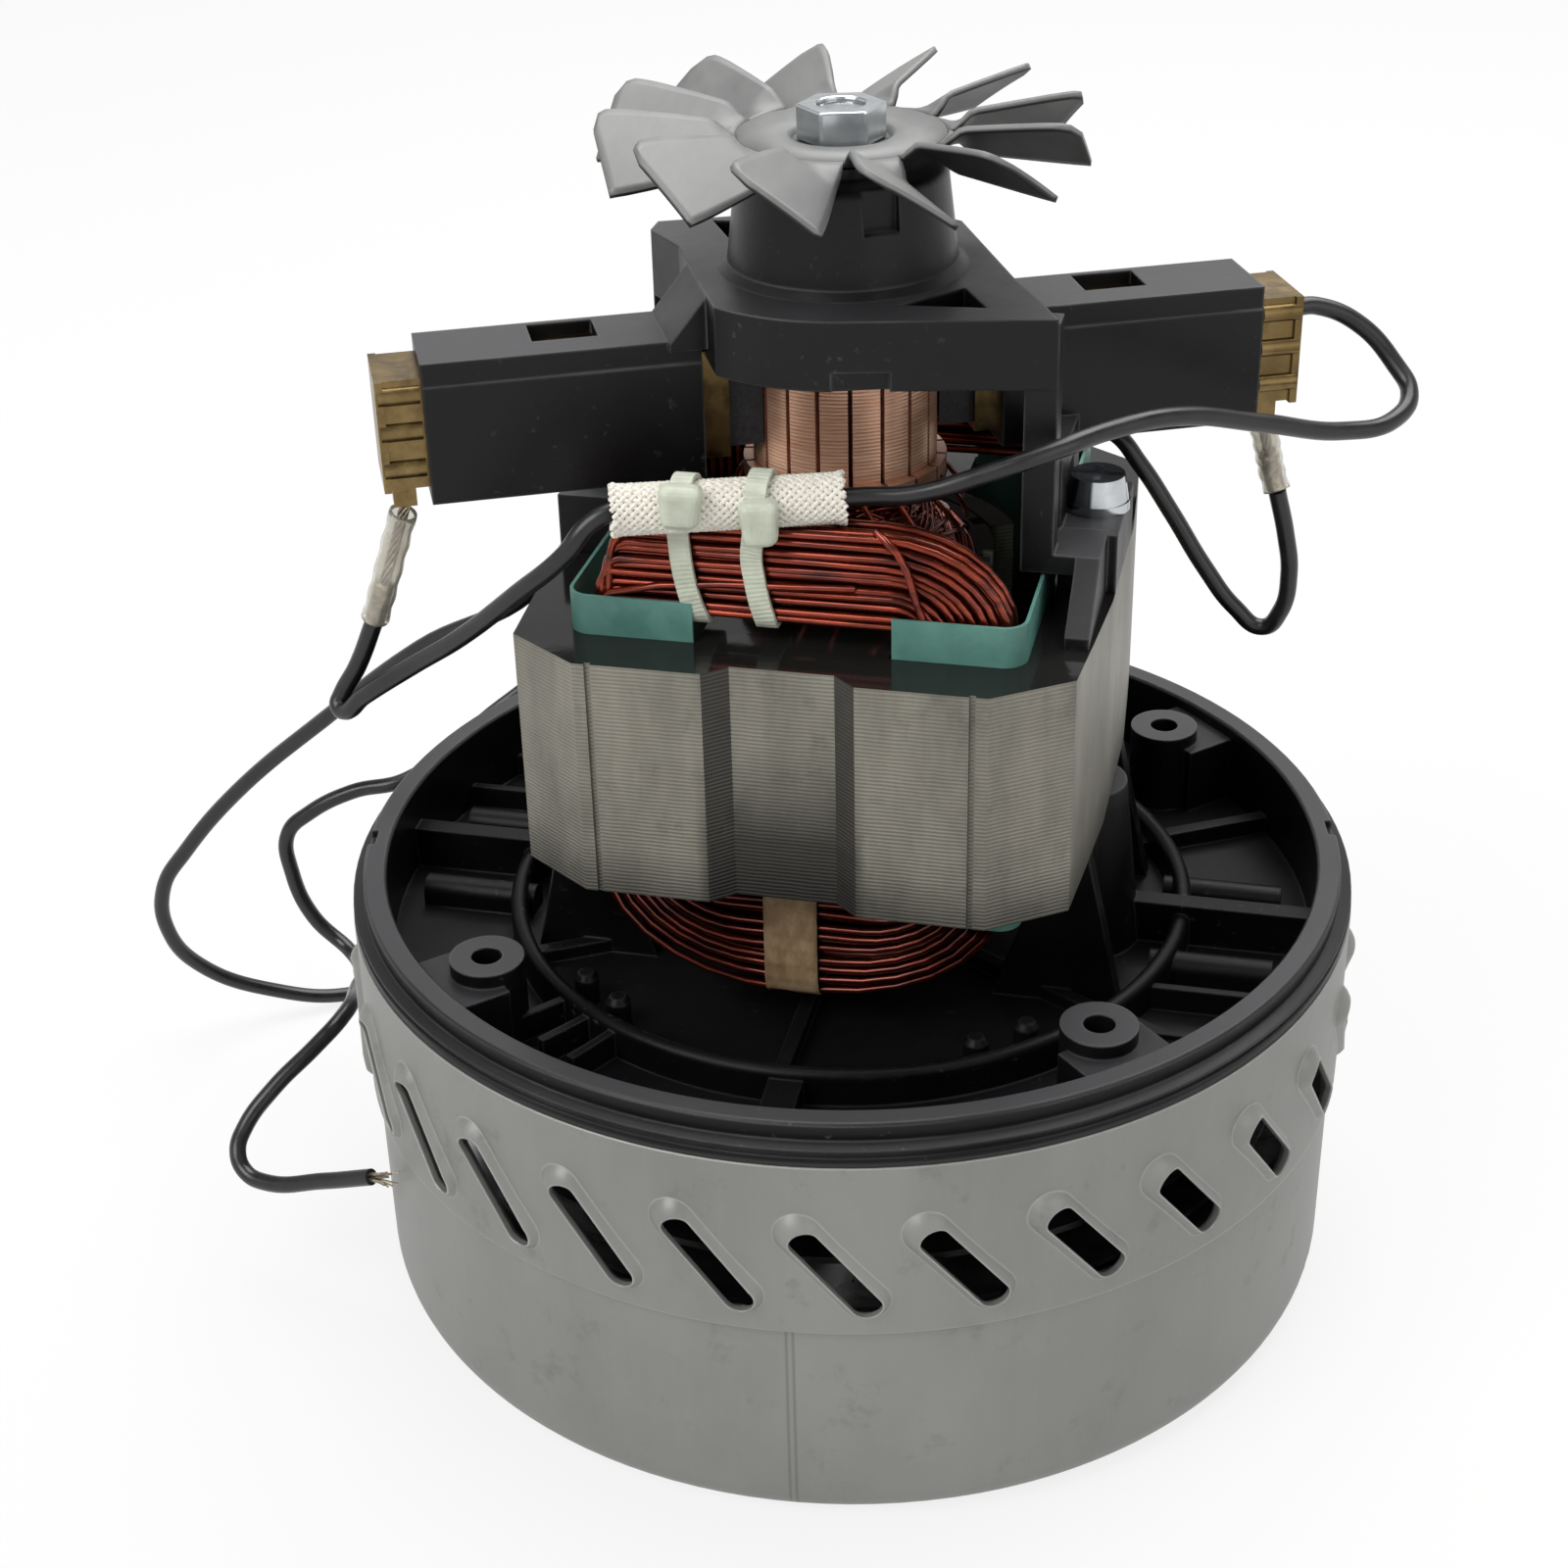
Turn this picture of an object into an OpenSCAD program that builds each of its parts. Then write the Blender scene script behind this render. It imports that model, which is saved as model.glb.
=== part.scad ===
// Two-stage bypass vacuum motor unit, millimetres.
// Z runs along the shaft, z = 0 is the underside of the fan case.
// The lamination stack is square to X and Y; the brush arms are turned about Z.

/* [Fan case] */
// Outside diameter of the vented band
band_d = 144; // [120:0.5:160]
// Inset of the cup below the band
cup_in = 0.8; // [0.2:0.1:4]
// Height of the step between cup and band
step_z = 34; // [20:0.5:45]
// Height of the case's upper edge
case_h = 59.5; // [50:0.5:80]
// Sheet thickness
sheet_t = 0.8; // [0.5:0.1:2]
// Radius of the bottom corner
corner_r = 5; // [2:0.5:12]
// Air inlet bore
inlet_d = 38; // [30:0.5:50]
// Height of the inlet collar above the underside
collar_h = 3.6; // [1.5:0.1:5]
// Number of louvres round the band
louvre_n = 28; // [12:1:40]
// Length of a louvre slot over its round ends
louvre_len = 16.5; // [8:0.5:24]
// Width of a louvre slot
louvre_w = 4; // [2:0.1:6]
// Lean of a louvre from upright
louvre_lean = 38.3; // [0:0.1:70]
// Height of a louvre's middle above the step
louvre_up = 9.4; // [7:0.1:16]
// Angle of the first louvre's middle from the front
louvre_start = 23.1; // [0:0.1:30]

/* [Base bracket] */
// Height of the rim above its ledge
rim_t = 2.8; // [0.8:0.1:6]
// Inset of the rim from the vented band
rim_inset = 1.8; // [0:0.1:4]
// Width of the rim's top face
rim_w = 3.3; // [2:0.1:9]
// Thickness of the ledge that sits on the case's edge
ledge_t = 1.9; // [1.8:0.1:4]
// Thickness of the gasket under the ledge
gasket_t = 0.7; // [0.4:0.1:2]
// Depth of the floor's underside below the case's edge
bowl_deep = 9.5; // [8:0.5:20]
// Thickness of the floor
floor_t = 2.5; // [1.5:0.1:5]
// Pitch circle of the cover bosses
boss_pcd = 117.2; // [100:0.2:130]
// Outside diameter of a cover boss
boss_d = 10.2; // [7:0.1:14]
// Hole in a cover boss
boss_hole = 4.2; // [2.5:0.1:6]
// Depth of the hole in a cover boss
boss_deep = 11; // [6:0.5:12]
// Radius of the round floor rib
ring_rib_r = 48.5; // [40:0.5:58]

/* [Stator] */
// Height of the stack above the rim
stack_up = 12.7; // [9.5:0.1:25]
// Length of the stack
stack_h = 33.2; // [20:0.1:50]
// Half depth of the stack, along Y
stack_y = 42; // [30:0.1:50]
// Half width of the stack, along X
stack_x = 37.9; // [30:0.1:50]
// Half width of the front face
face_x = 26.4; // [18:0.1:32]
// Bore of the stator
bore_d = 41.2; // [30:0.1:50]
// Air gap between armature and stator
air_gap = 0.5; // [0.2:0.05:1.5]
// Half width of a pole body
pole_x = 12.4; // [8:0.1:16]
// Wall of the stack beside the winding window
wall_x = 8.3; // [7:0.1:14]
// Wall of the stack in front of and behind the winding window
wall_y = 8.4; // [6:0.1:14]
// Corner radius of the winding window
win_r = 3; // [2:0.1:8]
// Height of the slot liners above and below the stack
liner_up = 5.4; // [2:0.1:8]
// Thickness of the slot liners
liner_t = 0.45; // [0.2:0.05:1]
// Field wire diameter
wire_d = 0.9; // [0.6:0.05:1.4]
// Loops shown in the outer layer of a field coil
loops = 10; // [4:1:12]
// Rise of a coil's end turn over its innermost loop
coil_rise = 13.6; // [9:0.1:20]
// Drop of a coil's lower end turn under its innermost loop
coil_drop = 17.2; // [9:0.1:20]

/* [Top bracket] */
// Height of the screw lugs on the stack
lug_h = 8.1; // [5:0.1:10]
// Height of the bracket's upper face over the brush arms
plate_up = 6.4; // [2:0.1:12]
// Depth of the bracket's fascia
plate_t = 9; // [5:0.1:14]
// Radius of the fascia
plate_r = 23.2; // [18:0.1:28]
// Height of the bearing hub over the bracket's upper face
hub_h = 14; // [9:0.1:22]
// Radius of the hub at its foot
hub_r1 = 15.2; // [14:0.1:18]
// Radius of the hub at its top
hub_r2 = 13.7; // [12.5:0.1:15]
// Radius of the hub's upper edge
hub_round = 2.4; // [0.5:0.1:4]
// Distance of the frame screws from the stack's side
screw_edge = 3.9; // [3:0.1:6]
// Shank diameter of the frame screws
screw_d = 5; // [4:0.5:6]

/* [Brush gear] */
// Turn of the brush arms about the shaft
arm_turn = 25; // [0:0.5:60]
// Reach of a brush arm
arm_len = 55.7; // [45:0.1:65]
// Underside of a brush arm above the stack
arm_up = 14.5; // [13:0.1:20]
// Wall of a brush arm beside its tube
arm_wall = 1.3; // [0.8:0.1:4]
// Wall of a brush arm above and below its tube
arm_roof = 2.05; // [0.8:0.05:4]
// Width of a brass brush tube
tube_w = 10.5; // [7:0.1:12]
// Height of a brass brush tube
tube_h = 14.6; // [10:0.1:17]
// Sheet thickness of a brush tube
tube_t = 0.9; // [0.5:0.1:1.5]
// Length of brush tube that stands out of the arm
tube_out = 5.9; // [2.5:0.1:12]
// Length of a carbon brush
brush_len = 25.4; // [12:0.1:36]

/* [Rotor] */
// Commutator diameter
comm_d = 24.6; // [18:0.1:30]
// Commutator length
comm_len = 19; // [12:0.1:22]
// Number of commutator bars
comm_n = 18; // [12:1:36]
// Cooling fan tip radius
fan_r = 31; // [24:0.5:40]
// Radius of the cooling fan's disc, at the blade roots
fan_disc_r = 14; // [12:0.1:20]
// Number of cooling fan blades
fan_n = 12; // [6:1:18]
// Height of the cooling fan's disc over the hub
fan_up = 3.4; // [2.6:0.1:8]
// Pitch of the cooling fan's blades
fan_pitch = 30; // [0:1:50]
// Across flats of the fan nut
nut_af = 10; // [8:0.5:14]
// Height of the fan nut
nut_h = 4.5; // [2.5:0.1:8]
// Gap between an impeller's tip and the case
imp_gap = 6.4; // [2:0.1:16]
// Number of impeller vanes
imp_n = 6; // [4:1:10]
// Height of an impeller's vanes
vane_h = 7.2; // [3:0.1:8]

/* [Leads] */
// Lead diameter over the insulation
lead_d = 2.5; // [1.6:0.1:4]
// Diameter of the braided sleeve
sleeve_d = 6.4; // [4:0.1:9]
// Length of the braided sleeve
sleeve_len = 28; // [16:0.5:40]

/* [Fits] */
// Radial clearance of a seated part
fit = 0.05; // [0.02:0.01:0.1]
// Gap between parts that turn or slide past each other
run = 0.3; // [0.2:0.05:1]

/* [Hidden] */
$fn = 72;
sink = 0.5; // how far a rib or pillar is let into what it stands on
nudge = 0.01; // overlap that joins two solids of one piece

// heights, from the ground up
band_r = band_d/2;
band_in = band_r - sheet_t;
cup_r = band_r - cup_in;
cup_bore = cup_r - sheet_t;
louvre_z = step_z + louvre_up;
floor_z = case_h - bowl_deep;
floor_top = floor_z + floor_t;
flange_z = case_h + gasket_t;
ledge_z = flange_z + ledge_t;
rim_z = ledge_z + rim_t;
rim_r = band_r - rim_inset;
rim_in = rim_r - rim_w;
skirt_r = band_in - fit;
stack_z = rim_z + stack_up;
stack_top = stack_z + stack_h;
screw_x = stack_x - screw_edge;
lug_z = stack_top + lug_h;
arm_z0 = stack_top + arm_up;
arm_mid = arm_z0 + arm_roof + tube_h/2;
arm_z1 = arm_mid + tube_h/2 + arm_roof;
plate_z = arm_z1 + plate_up;
fascia_z = plate_z - plate_t;
hub_z = plate_z + hub_h;
arm_w = tube_w + 2*arm_wall;
tube_end = arm_len + tube_out;
tube_in = comm_d/2 + 4.2;

// deep groove bearings: bore radius, outside radius, width, pitch radius, ball radius, balls
up_brg = [4, 11, 7, 7.5, 1.95, 7];
lo_brg = [5, 13, 8, 9, 2.3, 7];
up_brg_z = plate_z - 0.9;
lo_brg_z = floor_top + 0.5;
up_brg_top = up_brg_z + up_brg[2];
lo_brg_top = lo_brg_z + lo_brg[2];

// shaft line, from the bottom
tail_r = 4;
stub_r = 3;
core_shaft_r = 6;
spacer_r = 7;
wash_t = 1.4;
wash_r = 9;
imp_t = 1;
eye_t = 0.8;
guide_t = 0.8;
guide_h = 6.2;
inter_z = step_z - 13.6;
imp1_z = inter_z - 5;
imp2_z = inter_z + 17.6;
imp_r = cup_bore - imp_gap;
eye_r = inlet_d/2 + 1.5;
low_nut_af = 13;
low_nut_h = 5.2;
low_nut_z = imp1_z - wash_t - low_nut_h;
shaft_low = low_nut_z - 0.8;
arm_r = bore_d/2 - air_gap;
comm_z0 = fascia_z - 0.4 - comm_len;
comm_z1 = comm_z0 + comm_len;
bar_t = 2.8;
head_r = arm_r - 1.7;
fan_t = 0.9;
fan_dish = 1.3;
fan_z = hub_z + fan_up;
fan_seat = fan_z - fan_dish;
top_z = fan_seat + nut_h;

// field coil, in the winding window
win_x = stack_x - wall_x;
win_y = stack_y - wall_y;
shoe_r = bore_d/2 + 3.4;
coil_y = win_y - 1.8;
coil_x0 = pole_x + 1.7;
coil_r0 = 1.2;
coil_step = (win_x - 2.1 - coil_x0)/loops;
coil_top0 = stack_top + 1.4;
coil_low0 = stack_z - 1.7;
coil_top_step = coil_rise/loops;
coil_low_step = coil_drop/loops;
bulk_y0 = shoe_r + 1.2;
bulk_y1 = coil_y - wire_d/2 - fit;

// points set out by d from a closed outline that runs anticlockwise
function unit(v) = v/norm(v);
function outset(p, d) = [for (i = [0:len(p) - 1])
  let (a = p[(i + len(p) - 1) % len(p)], b = p[i], c = p[(i + 1) % len(p)],
       u = unit(b - a), v = unit(c - b), m = unit([u[1] + v[1], -u[0] - v[0]]))
  b + m*d/max(0.4, m[0]*u[1] - m[1]*u[0])];

// one closed tube along a list of points
function along(p, i) = unit(p[min(i + 1, len(p) - 1)] - p[max(i - 1, 0)]);
function frames(p, i = 0, out = []) = i >= len(p) ? out :
  let (t = along(p, i),
       g = i == 0 ? (abs(t[2]) < 0.8 ? [0, 0, 1] : [1, 0, 0]) : out[i - 1],
       n = unit(g - t*(g*t)))
  frames(p, i + 1, concat(out, [n]));
module tube(p, r, sides) {
  f = frames(p);
  pts = [for (i = [0:len(p) - 1])
    let (t = along(p, i), b = cross(t, f[i]))
    for (k = [0:sides - 1]) p[i] + r*(f[i]*cos(360*k/sides) + b*sin(360*k/sides))];
  last = (len(p) - 1)*sides;
  polyhedron(points = pts, convexity = 10, faces = concat(
    [for (k = [1:sides - 2]) [0, k, k + 1]],
    [for (k = [1:sides - 2]) [last, last + k + 1, last + k]],
    [for (i = [0:len(p) - 2]) for (k = [0:sides - 1]) for (half = [0, 1])
      let (a = i*sides + k, b = i*sides + (k + 1) % sides)
      half == 0 ? [a, a + sides, b + sides] : [a, b + sides, b]]));
}

module ring(r_out, r_in, h) {
  difference() {
    cylinder(r = r_out, h = h);
    translate([0, 0, -1]) cylinder(r = r_in, h = h + 2);
  }
}
module both() {
  children();
  rotate([0, 0, 180]) children();
}
module round_rect(x, y, r) {
  square([2*x, 2*(y - r)], center = true);
  square([2*(x - r), 2*y], center = true);
  for (i = [-1, 1]) for (j = [-1, 1]) translate([i*(x - r), j*(y - r)]) circle(r);
}
// a part drawn along +Z, laid from a towards b
module link(a, b) {
  d = b - a;
  translate(a) rotate([0, acos(d[2]/norm(d)), atan2(d[1], d[0])]) children();
}

// fan case

module cup_profile(r, z0, c, top) {
  translate([0, z0]) square([r - c, top - z0]);
  translate([0, z0 + c]) square([r, top - z0 - c]);
  translate([r - c, z0 + c]) circle(c);
}
module louvre_place() {
  for (i = [0:louvre_n - 1])
    rotate([0, 0, louvre_start + i*360/louvre_n]) translate([0, -band_r, louvre_z])
      rotate([0, -louvre_lean, 0]) children();
}
louvre_half = (louvre_len - louvre_w)/2;
module louvre_slot() {
  rotate([90, 0, 0]) translate([0, 0, -4]) linear_extrude(8) {
    square([louvre_w, 2*louvre_half], center = true);
    for (j = [-1, 1]) translate([0, j*louvre_half]) circle(louvre_w/2);
  }
}
// the sheet bulges round each slot, furthest past its upper end, and is as thick there as elsewhere
hood_r = louvre_w/2 + 1.9;
hood_proud = 1.5;
hood_over = 1.1;
hood_under = 0.4;
module louvre_hood(r) {
  translate([0, hood_r - hood_proud, 0]) {
    translate([0, 0, hood_under - louvre_half])
      cylinder(r = r, h = 2*louvre_half + hood_over - hood_under, $fn = 24);
    translate([0, 0, louvre_half + hood_over]) sphere(r = r, $fn = 24);
    translate([0, 0, hood_under - louvre_half]) sphere(r = r, $fn = 24);
  }
}
module fan_case() {
  color("silver") difference() {
    union() {
      rotate_extrude() difference() {
        cup_profile(cup_r, 0, corner_r, step_z);
        translate([0, sheet_t]) square([cup_r - corner_r, step_z]);
        cup_profile(cup_bore, sheet_t, corner_r - sheet_t, step_z + 1);
      }
      translate([0, 0, step_z - sheet_t]) ring(band_r, cup_bore, sheet_t);
      translate([0, 0, step_z]) ring(band_r, band_in, case_h - step_z);
      difference() {
        louvre_place() louvre_hood(hood_r);
        translate([0, 0, step_z]) cylinder(r = band_in, h = case_h - step_z);
      }
      ring(inlet_d/2 + sheet_t, inlet_d/2, collar_h);
    }
    translate([0, 0, -1]) cylinder(r = inlet_d/2, h = collar_h + 2);
    louvre_place() {
      louvre_hood(hood_r - sheet_t);
      louvre_slot();
    }
  }
}
module case_gasket() {
  color("dimgray") translate([0, 0, case_h]) ring(band_r - 0.2, skirt_r + fit, gasket_t);
}

// base bracket

boss_angles = [45:90:315];
spoke_t = 2;
web_t = 3;
pillar_r = 5.8;
pillar_foot = 8.6;
pillar_wall = [6, 34];
pillar_web = 4;
// flared panels at the pillar wall's two ends: thickness, then reach inward and outward at the foot
panel_t = 3;
panel_foot = [10, 8];
module pillar() {
  tall = stack_z - floor_top + sink;
  translate([screw_x, 0, floor_top - sink]) cylinder(r1 = pillar_foot, r2 = pillar_r, h = tall);
  translate([screw_x - 3.5, -pillar_wall[1]/2, floor_top - sink])
    cube([pillar_wall[0], pillar_wall[1], tall]);
  translate([screw_x + pillar_web, -web_t/2, floor_top - sink])
    cube([rim_in + 0.3 - screw_x - pillar_web, web_t, 7]);
  for (side = [0, 1]) mirror([0, side, 0])
    translate([screw_x, -pillar_wall[1]/2 - panel_t + 1, floor_top - sink]) rotate([90, 0, 0])
      mirror([0, 0, 1]) linear_extrude(panel_t)
        polygon([[-panel_foot[0], 0], [panel_foot[1], 0], [2.5, tall], [-3.5, tall], [-3.5, tall - 7]]);
}
// wire posts on the floor, a pair inside the ring rib beside each pillar's panel
post_r = ring_rib_r - 4.2;
post_turns = [46, 56];
module wire_post() {
  cylinder(r = 1.7, h = 4.2 + sink);
  translate([0, 0, 4.2 + sink - nudge]) cylinder(r1 = 1.7, r2 = 1.1, h = 0.8);
}
// round-topped duct walls on the floor, two to a side
duct_r = 2.2;
duct_y = 10;
duct_x0 = ring_rib_r - 3.5;
duct_len = rim_in - 4.9 - duct_x0;
module duct(y) {
  translate([duct_x0, y, floor_top + duct_r - 0.4]) rotate([0, 90, 0]) cylinder(r = duct_r, h = duct_len);
  translate([duct_x0, y - duct_r, floor_top - sink]) cube([duct_len, 2*duct_r, duct_r + 0.1]);
}
bearing_wall = 4;
ring_rib_t = 2.4;
ring_rib_h = 5.1;
// a stout rib from the ring rib outward at the front and the back, which ramps up to the rim
ramp_w = 4.6;
ramp_h = 3.8;
ramp_in = 4.4;
ramp_turn = -88;
module rim_ramp() {
  rotate([0, 0, ramp_turn]) translate([0, ramp_w/2, 0]) rotate([90, 0, 0]) linear_extrude(ramp_w)
    polygon([[ring_rib_r, floor_top - sink], [rim_in + 0.5, floor_top - sink], [rim_in + 0.5, rim_z - 2.2],
      [rim_in - 1.2, rim_z - 2.6], [rim_in - ramp_in, floor_top + ramp_h],
      [ring_rib_r, floor_top + ramp_h]]);
}
// thin fins outside the ring rib, and level ribs beside the ducts
fin_t = 1.2;
fin_len = 9;
fin_turns = [-131, -124.5, -118.5];
side_rib_y = [-18, -29];
module bowl_ribs() {
  for (a = fin_turns) rotate([0, 0, a]) translate([ring_rib_r, -fin_t/2, floor_top - sink])
    cube([fin_len, fin_t, ring_rib_h - 0.6]);
  for (y = side_rib_y) translate([ring_rib_r - 4, y - fin_t/2, floor_top - sink])
    cube([sqrt(rim_in^2 - y^2) + 0.3 - ring_rib_r + 4, fin_t, ring_rib_h - 1]);
}
// the floor is built up between each boss and the rim
saddle_wide = 3;
saddle_down = 1.6;
// rim over the case's edge: a grooved ledge, a sloping step and the flange above it
rim_ease = 0.35;
module rim_profile() {
  r = band_r - 0.1;
  polygon([[rim_in, flange_z - sink], [skirt_r, flange_z - sink], [skirt_r, flange_z], [r, flange_z],
    [r, flange_z + 0.8], [r - 0.5, flange_z + 1], [r - 0.5, flange_z + 1.3], [r - 0.1, flange_z + 1.5],
    [r - 0.1, ledge_z - 0.1], [rim_r, ledge_z + 0.3 - nudge], [rim_r, rim_z - rim_ease],
    [rim_r - rim_ease, rim_z], [rim_in + rim_ease, rim_z], [rim_in, rim_z - rim_ease]]);
}
module base_bracket() {
  hub = lo_brg[1] + bearing_wall;
  color("#1c1c1e") difference() {
    union() {
      translate([0, 0, floor_z]) cylinder(r = skirt_r, h = floor_t);
      translate([0, 0, floor_z]) ring(skirt_r, rim_in, flange_z - floor_z);
      rotate_extrude() rim_profile();
      translate([0, 0, floor_z]) cylinder(r = hub, h = lo_brg_top + 0.6 - floor_z);
      rotate_extrude() translate([ring_rib_r, 0]) {
        translate([-ring_rib_t/2, floor_top - sink]) square([ring_rib_t, ring_rib_h - ring_rib_t/2 + sink]);
        translate([0, floor_top + ring_rib_h - ring_rib_t/2]) circle(ring_rib_t/2);
      }
      for (a = boss_angles) rotate([0, 0, a]) translate([boss_pcd/2, 0, floor_top - sink]) {
        cylinder(d = boss_d, h = rim_z - floor_top + sink);
        translate([0, -(boss_d + saddle_wide)/2, 0])
          cube([rim_in - 0.1 - boss_pcd/2, boss_d + saddle_wide, rim_z - floor_top - saddle_down]);
      }
      both() for (a = post_turns) for (s = [-1, 1]) rotate([0, 0, s*a])
        translate([post_r, 0, floor_top - sink]) wire_post();
      for (a = [-90:60:210]) rotate([0, 0, a])
        translate([hub - 2, -spoke_t/2, floor_top - sink]) cube([ring_rib_r - hub + 2, spoke_t, 2.6]);
      for (a = [-30, 30, 150, 210]) rotate([0, 0, a])
        translate([ring_rib_r, -spoke_t/2, floor_top - sink]) cube([rim_in - ring_rib_r + 1, spoke_t, 3.2]);
      both() {
        rim_ramp();
        bowl_ribs();
      }
      both() pillar();
      both() for (y = [-duct_y, duct_y]) duct(y);
    }
    translate([0, 0, lo_brg_z]) cylinder(r = lo_brg[1] + fit, h = 20);
    translate([0, 0, floor_z - 1]) cylinder(r = spacer_r + 1.5, h = 20);
    for (a = boss_angles) rotate([0, 0, a])
      translate([boss_pcd/2, 0, rim_z - boss_deep]) cylinder(d = boss_hole, h = boss_deep + 1);
    both() translate([screw_x, 0, stack_z - screw_deep - 2])
      cylinder(d = screw_d + 2*fit, h = screw_deep + 4);
    both() rotate([0, 0, 12]) translate([rim_r - 1.2, -2, rim_z - 1.4]) cube([4, 4, 4]);
  }
}

// stages

module vanes(n, r0, r1, h, flip) {
  bow_x = 34;
  bow_r = 40;
  for (i = [0:n - 1]) rotate([0, 0, i*360/n]) linear_extrude(h) intersection() {
    difference() { circle(r1); circle(r0); }
    translate([bow_x, 0]) difference() { circle(bow_r + imp_t/2); circle(bow_r - imp_t/2); }
    translate([-100, flip ? -100 : 0]) square([200, 100]);
  }
}
// back plate on top, eye plate below
module impeller(z) {
  translate([0, 0, z]) ring(imp_r, tail_r + fit, imp_t);
  translate([0, 0, z - vane_h - nudge]) vanes(imp_n, eye_r + 1.5, imp_r - 0.5, vane_h + 2*nudge, false);
  translate([0, 0, z - vane_h - eye_t]) ring(imp_r, eye_r, eye_t);
}
module first_impeller() { color("gainsboro") impeller(imp1_z); }
module second_impeller() { color("gainsboro") impeller(imp2_z); }
module interstage_plate() {
  rim_out = cup_bore - fit;
  rim_bore = rim_out - guide_t;
  color("lightgray") {
    translate([0, 0, inter_z]) ring(imp_r, spacer_r + 2, guide_t);
    translate([0, 0, inter_z + guide_t - nudge])
      vanes(8, eye_r + 3.5, imp_r - 2, guide_h - guide_t + 2*nudge, true);
    translate([0, 0, inter_z + guide_h]) {
      ring(rim_out, eye_r, guide_t);
      ring(rim_out, rim_bore, step_z - inter_z - guide_h);
    }
    translate([0, 0, step_z]) ring(band_in - fit, rim_bore, guide_t);
  }
}
module impeller_washers() {
  color("darkgray") for (z = [imp1_z, imp2_z]) for (dz = [-wash_t, imp_t])
    translate([0, 0, z + dz]) ring(wash_r, tail_r + fit, wash_t);
}
module impeller_spacers() {
  z1 = imp1_z + imp_t + wash_t;
  z2 = imp2_z + imp_t + wash_t;
  color("darkgray") {
    translate([0, 0, z1]) ring(spacer_r, tail_r + fit, imp2_z - wash_t - z1);
    translate([0, 0, z2]) ring(spacer_r, tail_r + fit, lo_brg_z - z2);
  }
}
module impeller_nut() {
  color("silver") translate([0, 0, low_nut_z]) difference() {
    cylinder(d = low_nut_af/cos(30), h = low_nut_h, $fn = 6);
    translate([0, 0, -1]) cylinder(r = tail_r + fit, h = low_nut_h + 2);
  }
}

// stator

groove_x = 9.7;
groove_in = 6.7;
groove_deep = 2.65;
nick = [1.6, 2.4, 0.5]; // key cut beside each front corner: near edge, far edge, depth
module stack_outline() {
  polygon([for (k = [1, -1]) for (p = [
    [-face_x, -stack_y], [-face_x + nick[0], -stack_y], [-face_x + nick[0], -stack_y + nick[2]],
    [-face_x + nick[1], -stack_y + nick[2]], [-face_x + nick[1], -stack_y],
    [-groove_x, -stack_y], [-groove_in, -stack_y + groove_deep],
    [groove_in, -stack_y + groove_deep], [groove_x, -stack_y],
    [face_x - nick[1], -stack_y], [face_x - nick[1], -stack_y + nick[2]],
    [face_x - nick[0], -stack_y + nick[2]], [face_x - nick[0], -stack_y], [face_x, -stack_y],
    [stack_x - 1.7, 6.8 - stack_y], [stack_x - 0.9, -25], [stack_x, -12],
    [stack_x, 12], [stack_x - 0.9, 25], [stack_x - 1.7, stack_y - 6.8]]) k*p]);
}
screw_play = 0.3;
module stator_core() {
  gap = [68, 34]; // direction of the slot mouths between the pole shoes
  color("#8a887c") translate([0, 0, stack_z]) linear_extrude(stack_h) difference() {
    union() {
      difference() {
        stack_outline();
        round_rect(win_x, win_y, win_r);
      }
      difference() {
        union() {
          square([2*pole_x, 2*win_y + 2], center = true);
          intersection() {
            circle(shoe_r);
            difference() {
              square(120, center = true);
              polygon([[0, 0], gap, [gap[0], -gap[1]]]);
              polygon([[0, 0], -gap, [-gap[0], gap[1]]]);
            }
          }
        }
        circle(d = bore_d);
      }
    }
    circle(d = bore_d);
    for (s = [-1, 1]) translate([s*screw_x, 0]) circle(d = screw_d + screw_play);
  }
}
module liner() {
  linear_extrude(stack_h + 2*liner_up) intersection() {
    difference() {
      round_rect(win_x - fit, win_y - fit, win_r);
      round_rect(win_x - fit - liner_t, win_y - fit - liner_t, win_r - liner_t);
    }
    translate([pole_x + 0.4, -win_y]) square([40, win_y - 6]);
  }
}
module slot_liners() {
  color("#4e9a8c") translate([0, 0, stack_z - liner_up]) {
    both() liner();
    both() mirror([1, 0, 0]) liner();
  }
}

// the outer layer of a field coil: one flat spiral round the pole
function coil_at(q, k, u) =
  let (right = q < 2, up = q == 1 || q == 2, a = 90*q - 90 + 22.5*(k - 1),
       mid = (coil_top0 + coil_low0)/2, x = coil_x0 + coil_step*u,
       h = up ? coil_top0 - coil_r0 : coil_low0 + coil_r0,
       rz = coil_r0 + u*(up ? coil_top_step : coil_low_step))
  k > 0 ? [(right ? 1 : -1)*(coil_x0 - coil_r0) + (coil_r0 + coil_step*u)*cos(a), -coil_y, h + rz*sin(a)] :
  q == 0 ? [0, -coil_y, coil_low0 - coil_low_step*u] :
  q == 2 ? [0, -coil_y, coil_top0 + coil_top_step*u] : [q == 1 ? x : -x, -coil_y, mid];
coil_path = [for (i = [0:24*loops]) coil_at(floor((i % 24)/6), i % 6, i/24)];
coil_gap = min([for (i = [0:24*(loops - 1)]) for (j = [i + 16:i + 32])
  if (j <= 24*loops) norm(coil_path[i] - coil_path[j])]) - wire_d;
echo(coil_gap = coil_gap);
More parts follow.
